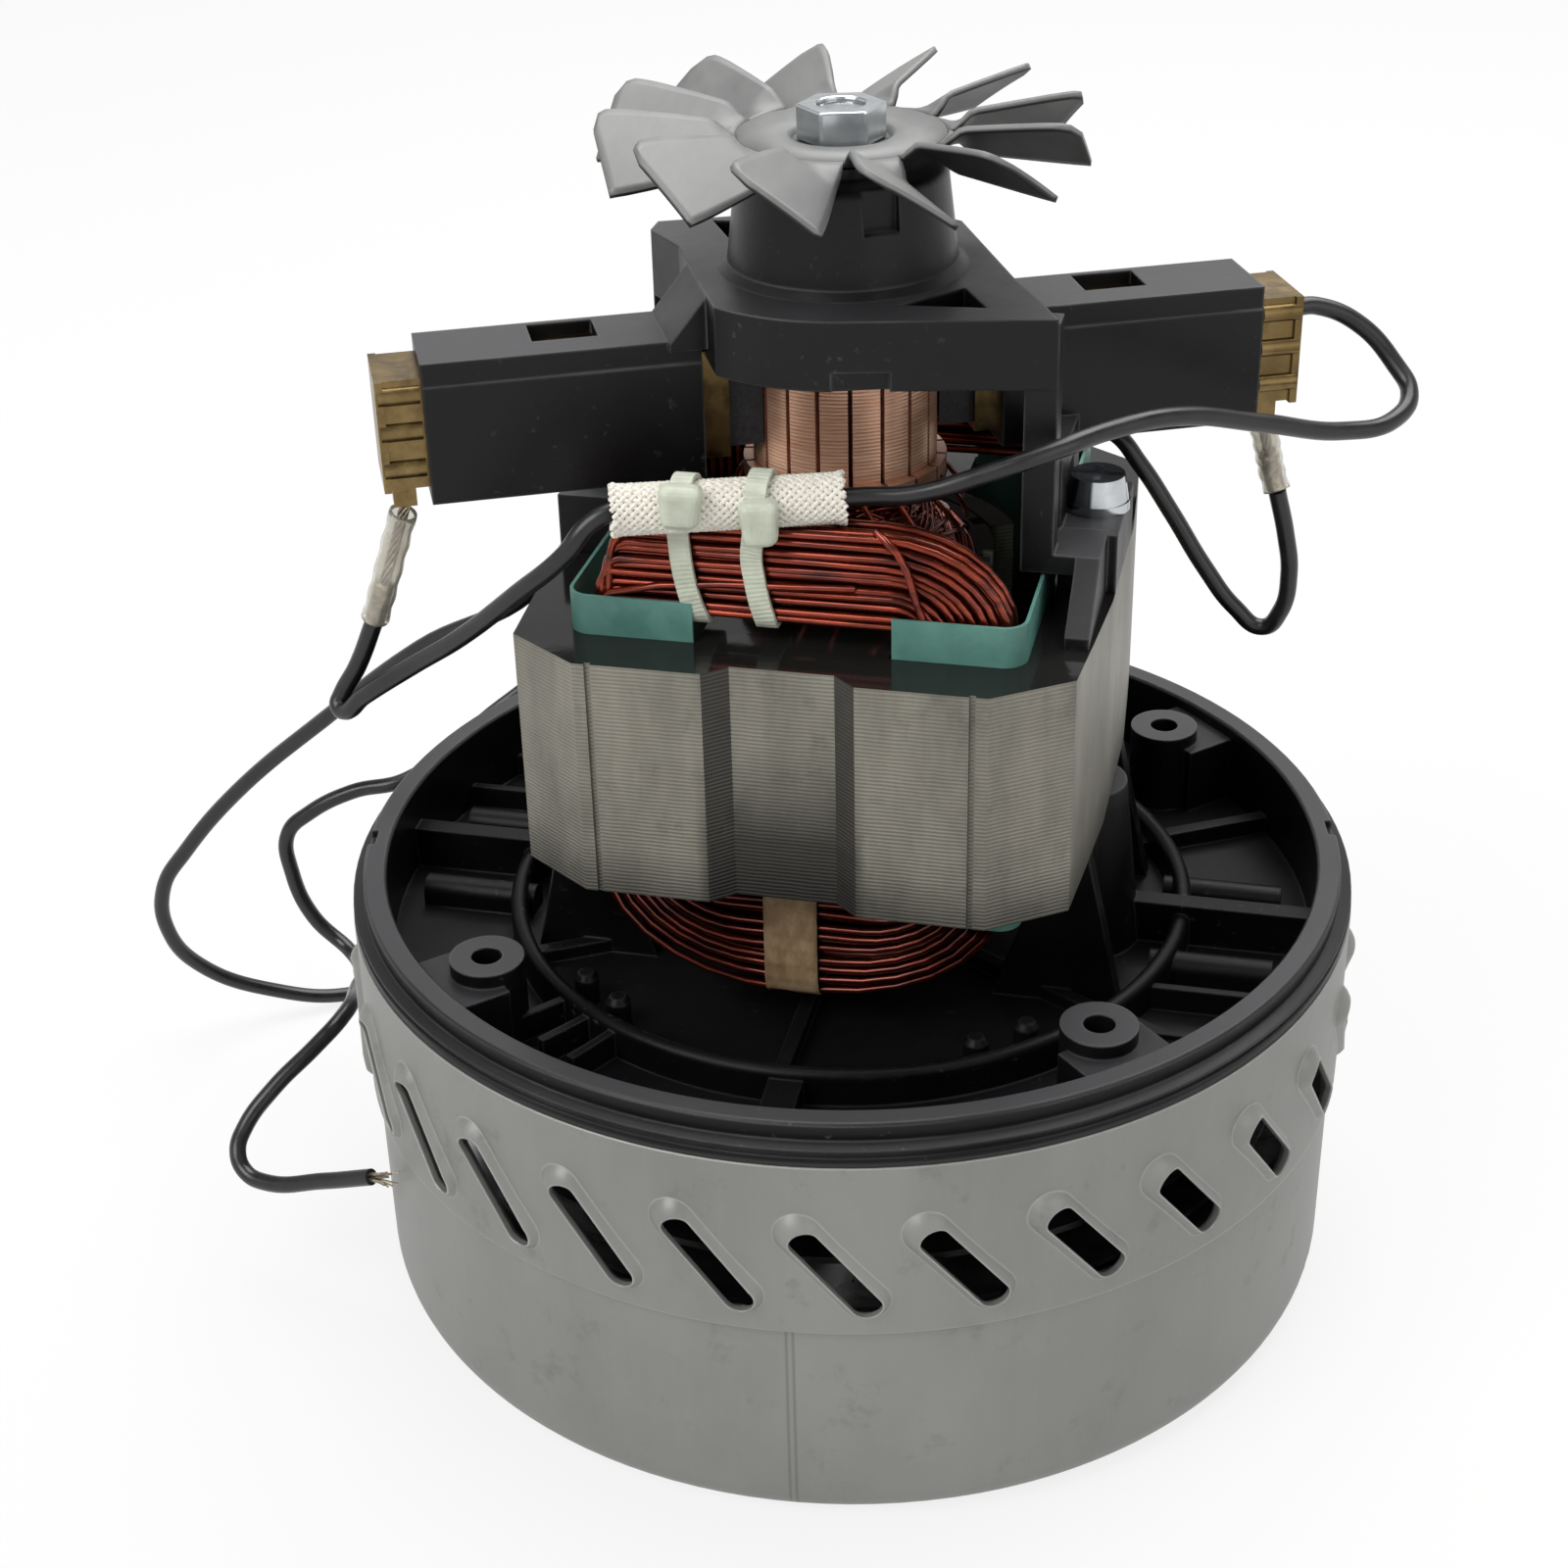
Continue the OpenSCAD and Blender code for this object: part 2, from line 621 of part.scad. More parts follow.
module field_coil() {
  top = coil_top0 + coil_rise - coil_top_step/2;
  low = coil_low0 - coil_drop + coil_low_step/2;
  wide = coil_x0 + coil_step*(loops - 0.5);
  tube(coil_path, wire_d/2, 6);
  translate([0, -bulk_y0, (top + low)/2]) rotate([90, 0, 0]) linear_extrude(bulk_y1 - bulk_y0)
    difference() {
      round_rect(wide, (top - low)/2, wide - pole_x - 1.03);
      translate([0, (coil_top0 + coil_low0)/2 - (top + low)/2])
        round_rect(pole_x + 0.9, (coil_top0 - coil_low0)/2 - 0.5, 0.3);
    }
}
module front_field_coil() { color("#8a3a26") field_coil(); }
module rear_field_coil() { color("#8a3a26") rotate([0, 0, 180]) field_coil(); }
tape_x = -4.9;
tape_w = 7.2;
tape_t = 0.3;
module coil_tape() {
  low = coil_low0 - coil_drop - 0.1*coil_low_step - wire_d/2 - 0.4;
  deep = coil_y + wire_d/2 - bulk_y0;
  translate([tape_x, -coil_y - wire_d/2 - 0.5, low]) difference() {
    cube([tape_w, deep + 3*tape_t, coil_low0 + 1.4 - low]);
    translate([-1, tape_t, tape_t]) cube([tape_w + 2, deep + tape_t, coil_low0 + 1.4 - 2*tape_t - low]);
  }
}
module coil_tapes() { color("#9a8468") both() coil_tape(); }

// top bracket

leg_x = screw_x - 7.6;
leg_y = -17.6;
leg_z = liner_up + stack_top + 0.5;
leg_size = [4.2, 3.8];
lug_in = 3.8;
lug_y = [-9.4, 9];
shelf_t = 2.6;
toe_y = -27;
// plan of the plate, anticlockwise from the front left
plate_plan = [[-13, -17], [5.5, -22.5], [leg_x + 4, leg_y], [27.2, -11], [22.4, -2.5], [17, 6],
  [13, 17], [-5.5, 22.5], [-leg_x - 2, 13.2], [-leg_x - 2, 9.4], [-22.4, 2.5], [-17, -6]];
pocket_plan = [[10.4, -15.4], [21.2, -14.8], [17.2, -7.6]];
module bracket_leg(x, y) {
  shelf_top = leg_z + shelf_t;
  translate([x, y, leg_z]) cube([leg_size[0], leg_size[1], plate_z - leg_z - sink]);
  translate([screw_x - lug_in, lug_y[0], stack_top]) cube([screw_edge + lug_in, lug_y[1] - lug_y[0], lug_h]);
  translate([leg_x, lug_y[0], lug_z - sink]) cube([4, lug_y[1] - lug_y[0] - 0.4, arm_z0 + 4 - lug_z]);
  translate([leg_x, leg_y, leg_z]) cube([10.2, 9, shelf_t]);
  translate([screw_x - 0.5, 0, 0]) rotate([90, 0, 90]) linear_extrude(3.1)
    polygon([[-9, stack_top], [toe_y, stack_top], [toe_y, stack_top + 1.6], [leg_y, shelf_top],
      [-9, shelf_top]]);
}
arm_root = 14;
arm_face = tube_in + 3.5; // the box stops here, and the tube stands out of it
arm_step = 15.7;
module arm_solid() {
  reach = arm_len - arm_face;
  brace = arm_root + 10.3;
  translate([arm_face, -arm_w/2, arm_z0]) cube([reach, arm_w, arm_step]);
  translate([arm_face, -arm_w/2 + 0.4, arm_z0 + arm_step - 0.7])
    cube([reach, arm_w - 0.8, arm_z1 - arm_z0 - arm_step + 0.7]);
  translate([0, arm_w/2 + 0.8, 0]) rotate([90, 0, 0]) linear_extrude(arm_w + 0.4)
    polygon([[arm_root, arm_z1 - 1], [brace, arm_z1 - 1], [brace, arm_z1], [arm_root + 5, plate_z],
      [arm_root, plate_z]]);
}
arm_window = [8.5, 6.5];
module arm_hollow(window_y) {
  translate([arm_root - 5, -tube_w/2 - fit, arm_mid - tube_h/2 - fit])
    cube([arm_len, tube_w + 2*fit, tube_h + 2*fit]);
  translate([arm_len - 23.2, window_y, arm_mid]) cube([arm_window[0], arm_window[1], 20]);
}
module bearing_hub() {
  translate([0, 0, plate_z - 1]) cylinder(r1 = hub_r1 + 2, r2 = hub_r1, h = 2);
  translate([0, 0, plate_z - 1]) cylinder(r1 = hub_r1, r2 = hub_r2, h = hub_z - hub_round - plate_z + 1);
  rotate_extrude() translate([0, hub_z - hub_round]) {
    translate([0, -nudge]) square([hub_r2 - hub_round, hub_round + nudge]);
    intersection() {
      translate([hub_r2 - hub_round, 0]) circle(hub_round);
      square(hub_r2);
    }
  }
}
fascia_half = 19.4;
fascia_bore = 17.5;
module top_bracket() {
  color("#1c1c1e") difference() {
    union() {
      translate([0, 0, fascia_z]) intersection() {
        cylinder(r = plate_r, h = plate_t);
        rotate([0, 0, arm_turn]) translate([-fascia_half, -30, 0]) cube([2*fascia_half, 60, 30]);
      }
      translate([0, 0, fascia_z]) linear_extrude(plate_t) polygon(plate_plan);
      bearing_hub();
      bracket_leg(leg_x, leg_y);
      rotate([0, 0, 180]) bracket_leg(leg_x - 2.2, leg_y + 4.4);
      both() rotate([0, 0, arm_turn]) arm_solid();
    }
    translate([0, 0, fascia_z - 30]) cylinder(r = fascia_bore, h = 30 + plate_t - 3.4);
    translate([0, 0, fascia_z]) cylinder(r = up_brg[1] + fit, h = up_brg_top - fascia_z);
    translate([0, 0, fascia_z]) cylinder(r = spacer_r, h = 40);
    rotate([0, 0, arm_turn]) arm_hollow(-1.3);
    rotate([0, 0, arm_turn + 180]) arm_hollow(-5.2);
    both() translate([0, 0, plate_z - 6]) linear_extrude(10) polygon(pocket_plan);
    both() translate([screw_x, 0, stack_top - 1]) cylinder(d = screw_d + screw_play, h = lug_h + 6);
    both() translate([screw_x, 0, lug_z]) cylinder(r = 5, h = arm_z0 - lug_z - 0.2);
    both() rotate([0, 0, -57.5]) translate([hub_r2 - 1.2, -2.4, hub_z - 6.5]) cube([6, 4.8, 5.3]);
    both() rotate([0, 0, -73]) translate([plate_r - 0.5, -3.6, fascia_z - 1]) cube([4, 7.2, 3.4]);
  }
}
screw_deep = 14;
head_h = 3.4;
spring_washer_t = 1.3;
module frame_screws() {
  head_z = lug_z + spring_washer_t;
  color("silver") for (s = [-1, 1]) translate([s*screw_x, 0, 0]) difference() {
    union() {
      translate([0, 0, head_z]) cylinder(r1 = 4.2, r2 = 3.6, h = head_h);
      translate([0, 0, stack_z - screw_deep]) cylinder(d = screw_d, h = head_z + 0.1 - stack_z + screw_deep);
    }
    translate([-5, -0.5, head_z + 2.3]) cube([10, 1, 4]);
    translate([-0.5, -2.4, head_z + 1.6]) cube([1, 4.8, 4]);
  }
}
module spring_washers() {
  color("silver") for (s = [-1, 1]) translate([s*screw_x, 0, lug_z]) difference() {
    ring(4.4, screw_d/2 + fit, spring_washer_t);
    translate([0, -0.4, -1]) cube([6, 0.8, 4]);
  }
}

// brush gear, drawn along +X

end_t = 1;
tab = [3, 3, 4]; // solder tab under a tube's outer end
tab_in = 4.2;
module brush_tube() {
  translate([tube_in, 0, arm_mid]) rotate([90, 0, 90]) linear_extrude(tube_end - tube_in - end_t)
    difference() {
      square([tube_w, tube_h], center = true);
      square([tube_w - 2*tube_t, tube_h - 2*tube_t], center = true);
    }
  translate([tube_end - end_t - nudge, -tube_w/2 - 0.4, arm_mid - tube_h/2 - 0.3])
    cube([end_t + nudge, tube_w + 0.8, tube_h + 0.3]);
  for (s = [-1, 1]) for (z = [-4.6, 0.4, 5.2])
    translate([arm_len + 0.3, s*(tube_w/2 - 0.4), arm_mid + z]) rotate([0, 90, 0])
      cylinder(r = 1.3, h = tube_out - 0.6, $fn = 24);
  translate([tube_end - tab_in, -tab[1]/2, arm_mid - tube_h/2 - tab[2]])
    cube([tab[0], tab[1], tab[2] + 0.2]);
}
brush_tip = comm_d/2 + run;
brush_end = brush_tip + brush_len;
brush_play = 0.1;
module carbon_brush() {
  w = tube_w - 2*tube_t - 2*brush_play;
  h = tube_h - 2*tube_t - 2*brush_play;
  difference() {
    translate([brush_tip - 2.3, -w/2, arm_mid - h/2]) cube([brush_len + 2.3, w, h]);
    translate([0, 0, arm_mid - h]) cylinder(r = brush_tip, h = 2*h);
  }
}
spring_r = 2.9;
spring_wire = 0.7;
spring_turns = 8;
spring_path = [for (i = [0:8*spring_turns])
  [brush_end + 0.4 + (tube_end - 1.9 - brush_end)*i/(8*spring_turns),
   spring_r*cos(45*i), arm_mid + spring_r*sin(45*i)]];
module brush_spring() { tube(spring_path, spring_wire/2, 6); }
solder_z = arm_mid + 3.85;
solder_h = 1.25;
module left_brush_tube() { color("#a98a4a") rotate([0, 0, arm_turn + 180]) brush_tube(); }
module right_brush_tube() {
  color("#a98a4a") rotate([0, 0, arm_turn]) {
    brush_tube();
    translate([tube_end - nudge, 0, solder_z]) rotate([0, 90, 0]) cylinder(r = 1.6, h = solder_h + nudge);
  }
}
module left_carbon_brush() { color("#333333") rotate([0, 0, arm_turn + 180]) carbon_brush(); }
module right_carbon_brush() { color("#333333") rotate([0, 0, arm_turn]) carbon_brush(); }
module left_brush_spring() { color("silver") rotate([0, 0, arm_turn + 180]) brush_spring(); }
module right_brush_spring() { color("silver") rotate([0, 0, arm_turn]) brush_spring(); }

// bearings

groove_play = 0.12;
land_share = 0.72; // part of the ball radius that stands clear of the ring's land
module outer_ring(b, z) {
  land = b[3] + b[4]*land_share;
  translate([0, 0, z]) rotate_extrude() difference() {
    translate([land, 0]) square([b[1] - land, b[2]]);
    translate([b[3], b[2]/2]) circle(b[4] + groove_play);
  }
}
module inner_ring(b, z) {
  land = b[3] - b[4]*land_share;
  translate([0, 0, z]) rotate_extrude() difference() {
    translate([b[0] + fit, 0]) square([land - b[0] - fit, b[2]]);
    translate([b[3], b[2]/2]) circle(b[4] + groove_play);
  }
}
module balls(b, z, r) {
  for (i = [0:b[5] - 1]) rotate([0, 0, i*360/b[5]])
    translate([b[3], 0, z + b[2]/2]) sphere(r = r, $fn = 32);
}
cage_t = 1.4;
module cage(b, z) {
  difference() {
    translate([0, 0, z + b[2]/2 - b[4] - cage_t/2]) ring(b[3] + cage_t/2, b[3] - cage_t/2, 2*b[4] + cage_t);
    balls(b, z, b[4] + 0.1);
  }
}
module upper_outer_ring() { color("silver") outer_ring(up_brg, up_brg_z); }
module upper_balls() { color("white") balls(up_brg, up_brg_z, up_brg[4]); }
module upper_cage() { color("tan") cage(up_brg, up_brg_z); }
module upper_inner_ring() { color("silver") inner_ring(up_brg, up_brg_z); }
module lower_outer_ring() { color("silver") outer_ring(lo_brg, lo_brg_z); }
module lower_balls() { color("white") balls(lo_brg, lo_brg_z, lo_brg[4]); }
module lower_cage() { color("tan") cage(lo_brg, lo_brg_z); }
module lower_inner_ring() { color("silver") inner_ring(lo_brg, lo_brg_z); }

// rotor

shoulder_h = 4;
module shaft() {
  color("lightgray") {
    translate([0, 0, shaft_low]) cylinder(r = tail_r, h = lo_brg_z - shaft_low);
    translate([0, 0, lo_brg_z - nudge]) cylinder(r = lo_brg[0], h = lo_brg[2] + 2*nudge);
    translate([0, 0, lo_brg_top]) cylinder(r = core_shaft_r, h = up_brg_z - lo_brg_top);
    translate([0, 0, up_brg_z - nudge]) cylinder(r = up_brg[0], h = up_brg[2] + shoulder_h);
    translate([0, 0, up_brg_z]) cylinder(r = stub_r, h = top_z - 0.5 - up_brg_z);
  }
}
slot_n = 11;
module armature_core() {
  color("slategray") translate([0, 0, stack_z]) linear_extrude(stack_h) difference() {
    circle(arm_r);
    circle(core_shaft_r + fit);
    for (i = [0:slot_n - 1]) rotate(i*360/slot_n) {
      translate([arm_r - 1.6, -1.1]) square([3, 2.2]);
      translate([arm_r - 5.2, 0]) circle(3.2);
      translate([arm_r - 8.4, 0]) circle(2.2);
    }
  }
}
head_round = 3;
module winding_head(h) {
  r0 = core_shaft_r + fit;
  rotate_extrude() {
    translate([r0, 0]) square([head_r - r0 - head_round, h]);
    translate([r0, 0]) square([head_r - r0, h - head_round]);
    translate([head_r - head_round, h - head_round]) circle(head_round);
  }
}
hub_over = 0.6;
module armature_winding() {
  color("#9a4a2c") {
    translate([0, 0, stack_top]) winding_head(comm_z0 - stack_top - hub_over);
    translate([0, 0, stack_z]) mirror([0, 0, 1]) winding_head(11);
  }
}
module commutator_hub() {
  color("#5a3020") translate([0, 0, comm_z0 - hub_over])
    ring(comm_d/2 - bar_t, core_shaft_r + fit, comm_len + hub_over + 0.4);
}
bar_slit = 0.6;
slit_turn = 5.4;
hook_out = 1.3;
hook_h = 2.4;
module commutator_bars() {
  color("#b0764f") difference() {
    translate([0, 0, comm_z0]) {
      ring(comm_d/2, comm_d/2 - bar_t, comm_len);
      ring(comm_d/2 + hook_out, comm_d/2 - bar_t, hook_h);
    }
    for (i = [0:comm_n - 1]) rotate([0, 0, slit_turn + i*360/comm_n])
      translate([5, -bar_slit/2, comm_z0 - 1]) cube([12, bar_slit, comm_len + 11]);
  }
}
module fan_spacer() {
  color("silver") translate([0, 0, up_brg_top]) difference() {
    cylinder(r = 5.6, h = fan_seat - fan_t - up_brg_top);
    translate([0, 0, -1]) cylinder(r = tail_r + fit, h = shoulder_h + 1.05);
    cylinder(r = stub_r + fit, h = 30);
  }
}
module fan_blade() {
  root = fan_disc_r - 1.6;
  neck = fan_disc_r + 2.4;
  translate([0, 0, fan_z - fan_t/2]) rotate([-fan_pitch, 0, 0]) translate([0, 0, -fan_t/2])
    linear_extrude(fan_t) polygon([[root, -2.9], [neck, -4.5], [fan_r - 2.4, -6.1], [fan_r - 0.6, -4.6],
      [fan_r, 6.2], [neck, 4.5], [root, 2.9]]);
}
module cooling_fan() {
  color("#9a9a98") {
    rotate_extrude() polygon([[stub_r + fit, fan_seat - fan_t], [6.4, fan_seat - fan_t],
      [7.9, fan_z - fan_t], [fan_disc_r, fan_z - fan_t], [fan_disc_r, fan_z], [7.5, fan_z],
      [6, fan_seat], [stub_r + fit, fan_seat]]);
    for (i = [0:fan_n - 1]) rotate([0, 0, -92 + i*360/fan_n]) fan_blade();
  }
}
module fan_nut() {
  color("gainsboro") translate([0, 0, fan_seat]) rotate([0, 0, 33]) difference() {
    intersection() {
      cylinder(d = nut_af/cos(30), h = nut_h, $fn = 6);
      cylinder(r1 = nut_af*0.85, r2 = nut_af/2 + 0.1, h = nut_h + 2.2);
    }
    translate([0, 0, -1]) cylinder(r = stub_r + fit, h = 20);
  }
}

// thermal protector on the front coil

sleeve_turn = 18;
sleeve_wall = 0.7;
sleeve_z = coil_top0 + coil_rise + wire_d/2 + sleeve_d/2 + 0.1;
sleeve_mid = [-8, -coil_y - 0.3];
protector_len = 18;
module sleeve_place() {
  translate([sleeve_mid[0], sleeve_mid[1], sleeve_z]) rotate([0, 90, sleeve_turn]) children();
}
module protector_sleeve() {
  color("#e8e4dc") sleeve_place() translate([0, 0, -sleeve_len/2])
    ring(sleeve_d/2, sleeve_d/2 - sleeve_wall, sleeve_len);
}
module thermal_protector() {
  color("#b8b8b0") sleeve_place() translate([0, 0, -protector_len/2])
    cylinder(r = sleeve_d/2 - sleeve_wall, h = protector_len);
}
tie_xs = [-11.7, -3.2];
tie_w = 3;
tie_t = 0.6;
tie_head = [4.8, 3.4, 5.4];
// tie outline in Y and Z, anticlockwise from the bottom front
function tie_loop(ys) =
  let (r = sleeve_d/2 + 0.75, f = -coil_y - wire_d/2 - 0.1, b = -bulk_y0 + 0.1,
       z0 = coil_top0 - wire_d/2 - 0.15, z1 = sleeve_z - sleeve_d/2 - 0.7, crown = sleeve_z + r - 0.2)
  [[f, z0], [b, z0], [b, z1], [ys + r, sleeve_z - 1], [ys + r, sleeve_z + 1.6], [ys + r - 2, crown],
   [ys - r + 2, crown], [ys - r, sleeve_z + 1.6], [ys - r, sleeve_z - 1.4],
   [ys - r + 1.3, z1 + 0.2], [f, z1]];
module cable_tie(x) {
  ys = sleeve_mid[1] + (x - sleeve_mid[0])*tan(sleeve_turn);
  loop = tie_loop(ys);
  translate([x - tie_w/2, 0, 0]) rotate([90, 0, 90]) linear_extrude(tie_w) difference() {
    polygon(outset(loop, tie_t));
    polygon(loop);
  }
  translate([x - tie_head[0]/2, ys - sleeve_d/2 - 4.4, sleeve_z - 2.8]) cube(tie_head);
}
module cable_ties() { color("#cfd8ce") for (x = tie_xs) cable_tie(x); }

// leads: brush terminals to crimps, then insulated wire along hand-set points

lead_r = lead_d/2;
tab_r = tube_end - tab_in + tab[0]/2;
tab_z = arm_mid - tube_h/2 - tab[2] - run;
right_tab = [tab_r*cos(arm_turn), tab_r*sin(arm_turn), tab_z];
left_tab = [-right_tab[0], -right_tab[1], tab_z];
right_crimp = [56.4, 25.9, 112];
left_crimp = [-58.7, -26.4, 106.9];
function toward(a, b, d) = a + unit(b - a)*d;
// a point on the sleeve's middle line, t from its middle
function in_sleeve(t) = [sleeve_mid[0] + t*cos(sleeve_turn), sleeve_mid[1] + t*sin(sleeve_turn), sleeve_z];
protector_end = protector_len/2 + 0.1;
// a point straight out of the solder joint, d from its face
function from_solder(d) =
  let (r = tube_end + solder_h + d) [r*cos(arm_turn), r*sin(arm_turn), solder_z - d/30];
right_protector_path = [from_solder(0.05), from_solder(3),
  [65.6, 28.8, 135.8], [70.9, 27.4, 130.8], [73.1, 24.8, 128], [71.3, 19.3, 126], [64.8, 12.8, 126.5],
  [54.9, 3.6, 130.5], [44.3, -6.9, 134.8], [36.5, -14.7, 135.3], [31.2, -20.6, 134.9], [22.1, -24.4, 132.2],
  [14, -26.1, 129.9], in_sleeve(17), in_sleeve(13), in_sleeve(protector_end)];
right_field_path = [toward(right_crimp, right_tab, -0.2),
  [58.1, 26.2, 105.2], [59, 26.4, 99.1], [58.1, 26.8, 92.7], [55.8, 27.3, 89.9],
  [51.7, 27.4, 92.6], [47.1, 27.5, 98.4], [41.7, 27.3, 107], [37, 27.2, 114], [33, 27.4, 118.4],
  [25.9, 28.2, 119.8]];
left_protector_path = [toward(left_crimp, left_tab, -0.2),
  [-61.8, -27, 99.7], [-64.6, -28.1, 94.6], [-63.4, -29.4, 94.4], [-60.1, -30.2, 96.8],
  [-52.1, -31.6, 102.8], [-43.7, -34.4, 109.2], [-34, -37.9, 118], [-27.2, -39, 124.2],
  [-24, -37.8, 128.2], in_sleeve(-13.4), in_sleeve(-protector_end)];
first_supply_path = [
  [-25.6, 28.6, 119.8], [-30, 29.4, 118.6], [-38.6, 28.2, 113], [-49.1, 14, 94.5], [-69.2, 13.8, 82],
  [-87.9, 16, 66.4], [-105.1, 16.4, 51], [-114.8, 15.3, 39.8], [-119.6, 14.8, 32.5], [-120.8, 16.1, 22.9],
  [-117.9, 19.8, 14], [-108.5, 26.9, 5.4], [-98, 33, 1.8], [-88, 44, 1.4], [-76, 57, 1.4]];
second_supply_path = [
  [-6, 33.6, 64.5], [-16, 38.5, 63.5], [-30, 47, 65], [-43, 53.6, 66.6], [-49.5, 54.5, 66.1],
  [-57, 53.5, 63],
  [-68, 43, 57], [-78.4, 24.1, 52.2], [-87.2, 22.3, 50], [-94.7, 20.7, 46], [-98.4, 19.9, 42.3],
  [-98.6, 19.8, 34.8], [-95.6, 19.4, 26.8], [-89.1, 17.8, 21.9], [-83, 8, 24.5], [-78.5, -4, 30],
  [-75.8, -16.6, 33.2], [-78.4, -21.9, 31], [-82.7, -27.9, 27.4], [-85.9, -32.7, 23.1], [-86, -35.8, 20.9],
  [-84.4, -37.5, 18.8], [-80.8, -38.8, 18.3], [-70.4, -40.6, 21.5], [-61.8, -42.6, 25.1]];
crimp_r = 1.35;
crimp_len = 6;
pigtail_r = 0.8;
clear_r = 1.9;
clear_bore = 1.45;
module crimp(a, b) {
  n = norm(b - a);
  link(a, b) {
    cylinder(r = pigtail_r, h = n - crimp_len + 1);
    translate([0, 0, n - crimp_len]) cylinder(r = crimp_r, h = crimp_len);
  }
}
module clear_sleeve(a, b) {
  link(toward(a, b, 1.2), b) ring(clear_r, clear_bore, norm(b - a));
}
module lead_crimps() {
  color("silver") { crimp(left_tab, left_crimp); crimp(right_tab, right_crimp); }
}
module lead_sleeves() {
  color("#d8d8d0") { clear_sleeve(left_tab, left_crimp); clear_sleeve(right_tab, right_crimp); }
}
module lead(path) { color("#1a1a1a") tube(path, lead_r, 8); }
module right_protector_lead() { lead(right_protector_path); }
module right_field_lead() { lead(right_field_path); }
module left_protector_lead() { lead(left_protector_path); }
module first_supply_lead() { lead(first_supply_path); }
module second_supply_lead() { lead(second_supply_path); }
// bare strands past the end of a lead, bent by d from its line
strand_r = 0.7;
strand_len = 4.4;
module strand(p, d) {
  e = p[len(p) - 1];
  out = unit(e - p[len(p) - 2] + d);
  link(e + 0.05*out, e + out) cylinder(r = strand_r, h = strand_len);
}
module lead_strands() {
  color("#c8c4b0") {
    strand(first_supply_path, [0, 0, 0]);
    strand(second_supply_path, [0, -1, -1]);
  }
}

fan_case();
case_gasket();
base_bracket();
interstage_plate();
stator_core();
front_field_coil();
rear_field_coil();
slot_liners();
coil_tapes();
top_bracket();
frame_screws();
spring_washers();
left_brush_tube();
right_brush_tube();
left_carbon_brush();
right_carbon_brush();
left_brush_spring();
right_brush_spring();
upper_outer_ring();
upper_balls();
upper_cage();
upper_inner_ring();
lower_outer_ring();
lower_balls();
lower_cage();
lower_inner_ring();
shaft();
armature_core();
armature_winding();
commutator_hub();
commutator_bars();
fan_spacer();
cooling_fan();
fan_nut();
first_impeller();
second_impeller();
impeller_washers();
impeller_spacers();
impeller_nut();
protector_sleeve();
thermal_protector();
cable_ties();
lead_crimps();
lead_sleeves();
right_protector_lead();
right_field_lead();
left_protector_lead();
first_supply_lead();
second_supply_lead();
lead_strands();
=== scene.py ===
import math
import random

import bmesh
import bpy
from mathutils import Matrix, Vector
from mathutils.geometry import interpolate_bezier


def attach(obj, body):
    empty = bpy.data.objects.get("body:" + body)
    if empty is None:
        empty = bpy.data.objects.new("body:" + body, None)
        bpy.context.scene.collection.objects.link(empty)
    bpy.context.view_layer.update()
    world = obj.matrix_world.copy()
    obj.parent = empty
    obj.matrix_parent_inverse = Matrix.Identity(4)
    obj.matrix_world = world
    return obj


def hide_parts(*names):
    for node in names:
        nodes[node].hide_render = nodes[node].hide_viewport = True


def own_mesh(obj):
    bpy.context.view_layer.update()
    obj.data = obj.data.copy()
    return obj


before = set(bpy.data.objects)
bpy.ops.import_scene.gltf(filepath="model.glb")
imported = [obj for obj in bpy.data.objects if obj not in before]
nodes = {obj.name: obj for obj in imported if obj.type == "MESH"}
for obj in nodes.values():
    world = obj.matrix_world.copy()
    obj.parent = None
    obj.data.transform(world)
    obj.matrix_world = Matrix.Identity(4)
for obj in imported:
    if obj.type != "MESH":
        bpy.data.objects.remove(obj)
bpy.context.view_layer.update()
scene = bpy.context.scene
mm = 0.001
halfTurn = Matrix.Rotation(math.pi, 3, "Z")
print("frame loaded,", len(nodes), "nodes")


def addObject(name, data):
    made = bpy.data.objects.new(name, data)
    scene.collection.objects.link(made)
    return made


# camera, at the photograph's place
viewSetup = {
    "place": (0.06765162, -0.31637474, 0.25553),
    "right": (0.97411051, 0.22498718, -0.02212429),
    "up": (-0.09175783, 0.48291267, 0.87084778),
    "back": (0.20661369, -0.8462719, 0.49105464),
    "lens": 59.25, "sensor": 36.0, "nearest": 0.01,
}
cameraData = bpy.data.cameras.new("photoCamera")
cameraData.lens = viewSetup["lens"]
cameraData.sensor_width = viewSetup["sensor"]
cameraData.clip_start = viewSetup["nearest"]
camera = addObject("photoCamera", cameraData)
axes = Matrix([viewSetup[side] for side in ("right", "up", "back")]).transposed().to_4x4()
camera.matrix_world = Matrix.Translation(viewSetup["place"]) @ axes
scene.camera = camera
print("camera set")


def linear(hexText):  # sRGB hex to linear RGBA
    parts = [int(hexText[i:i + 2], 16) / 255 for i in (1, 3, 5)]
    return [p / 12.92 if p <= 0.04045 else ((p + 0.055) / 1.055) ** 2.4 for p in parts] + [1.0]


def addNode(tree, kind, inputs=None, **settings):
    node = tree.nodes.new("ShaderNode" + kind)
    for key, value in settings.items():
        setattr(node, key, value)
    for key, value in (inputs or {}).items():
        if isinstance(value, bpy.types.NodeSocket):
            tree.links.new(value, node.inputs[key])
        else:
            node.inputs[key].default_value = value
    return node


def plug(shader, **sockets):
    for key, value in sockets.items():
        shader.id_data.links.new(value, shader.inputs[key.replace("_", " ")])


def calc(tree, operation, first, second=0.0):
    return addNode(tree, "Math", {0: first, 1: second}, operation=operation).outputs[0]


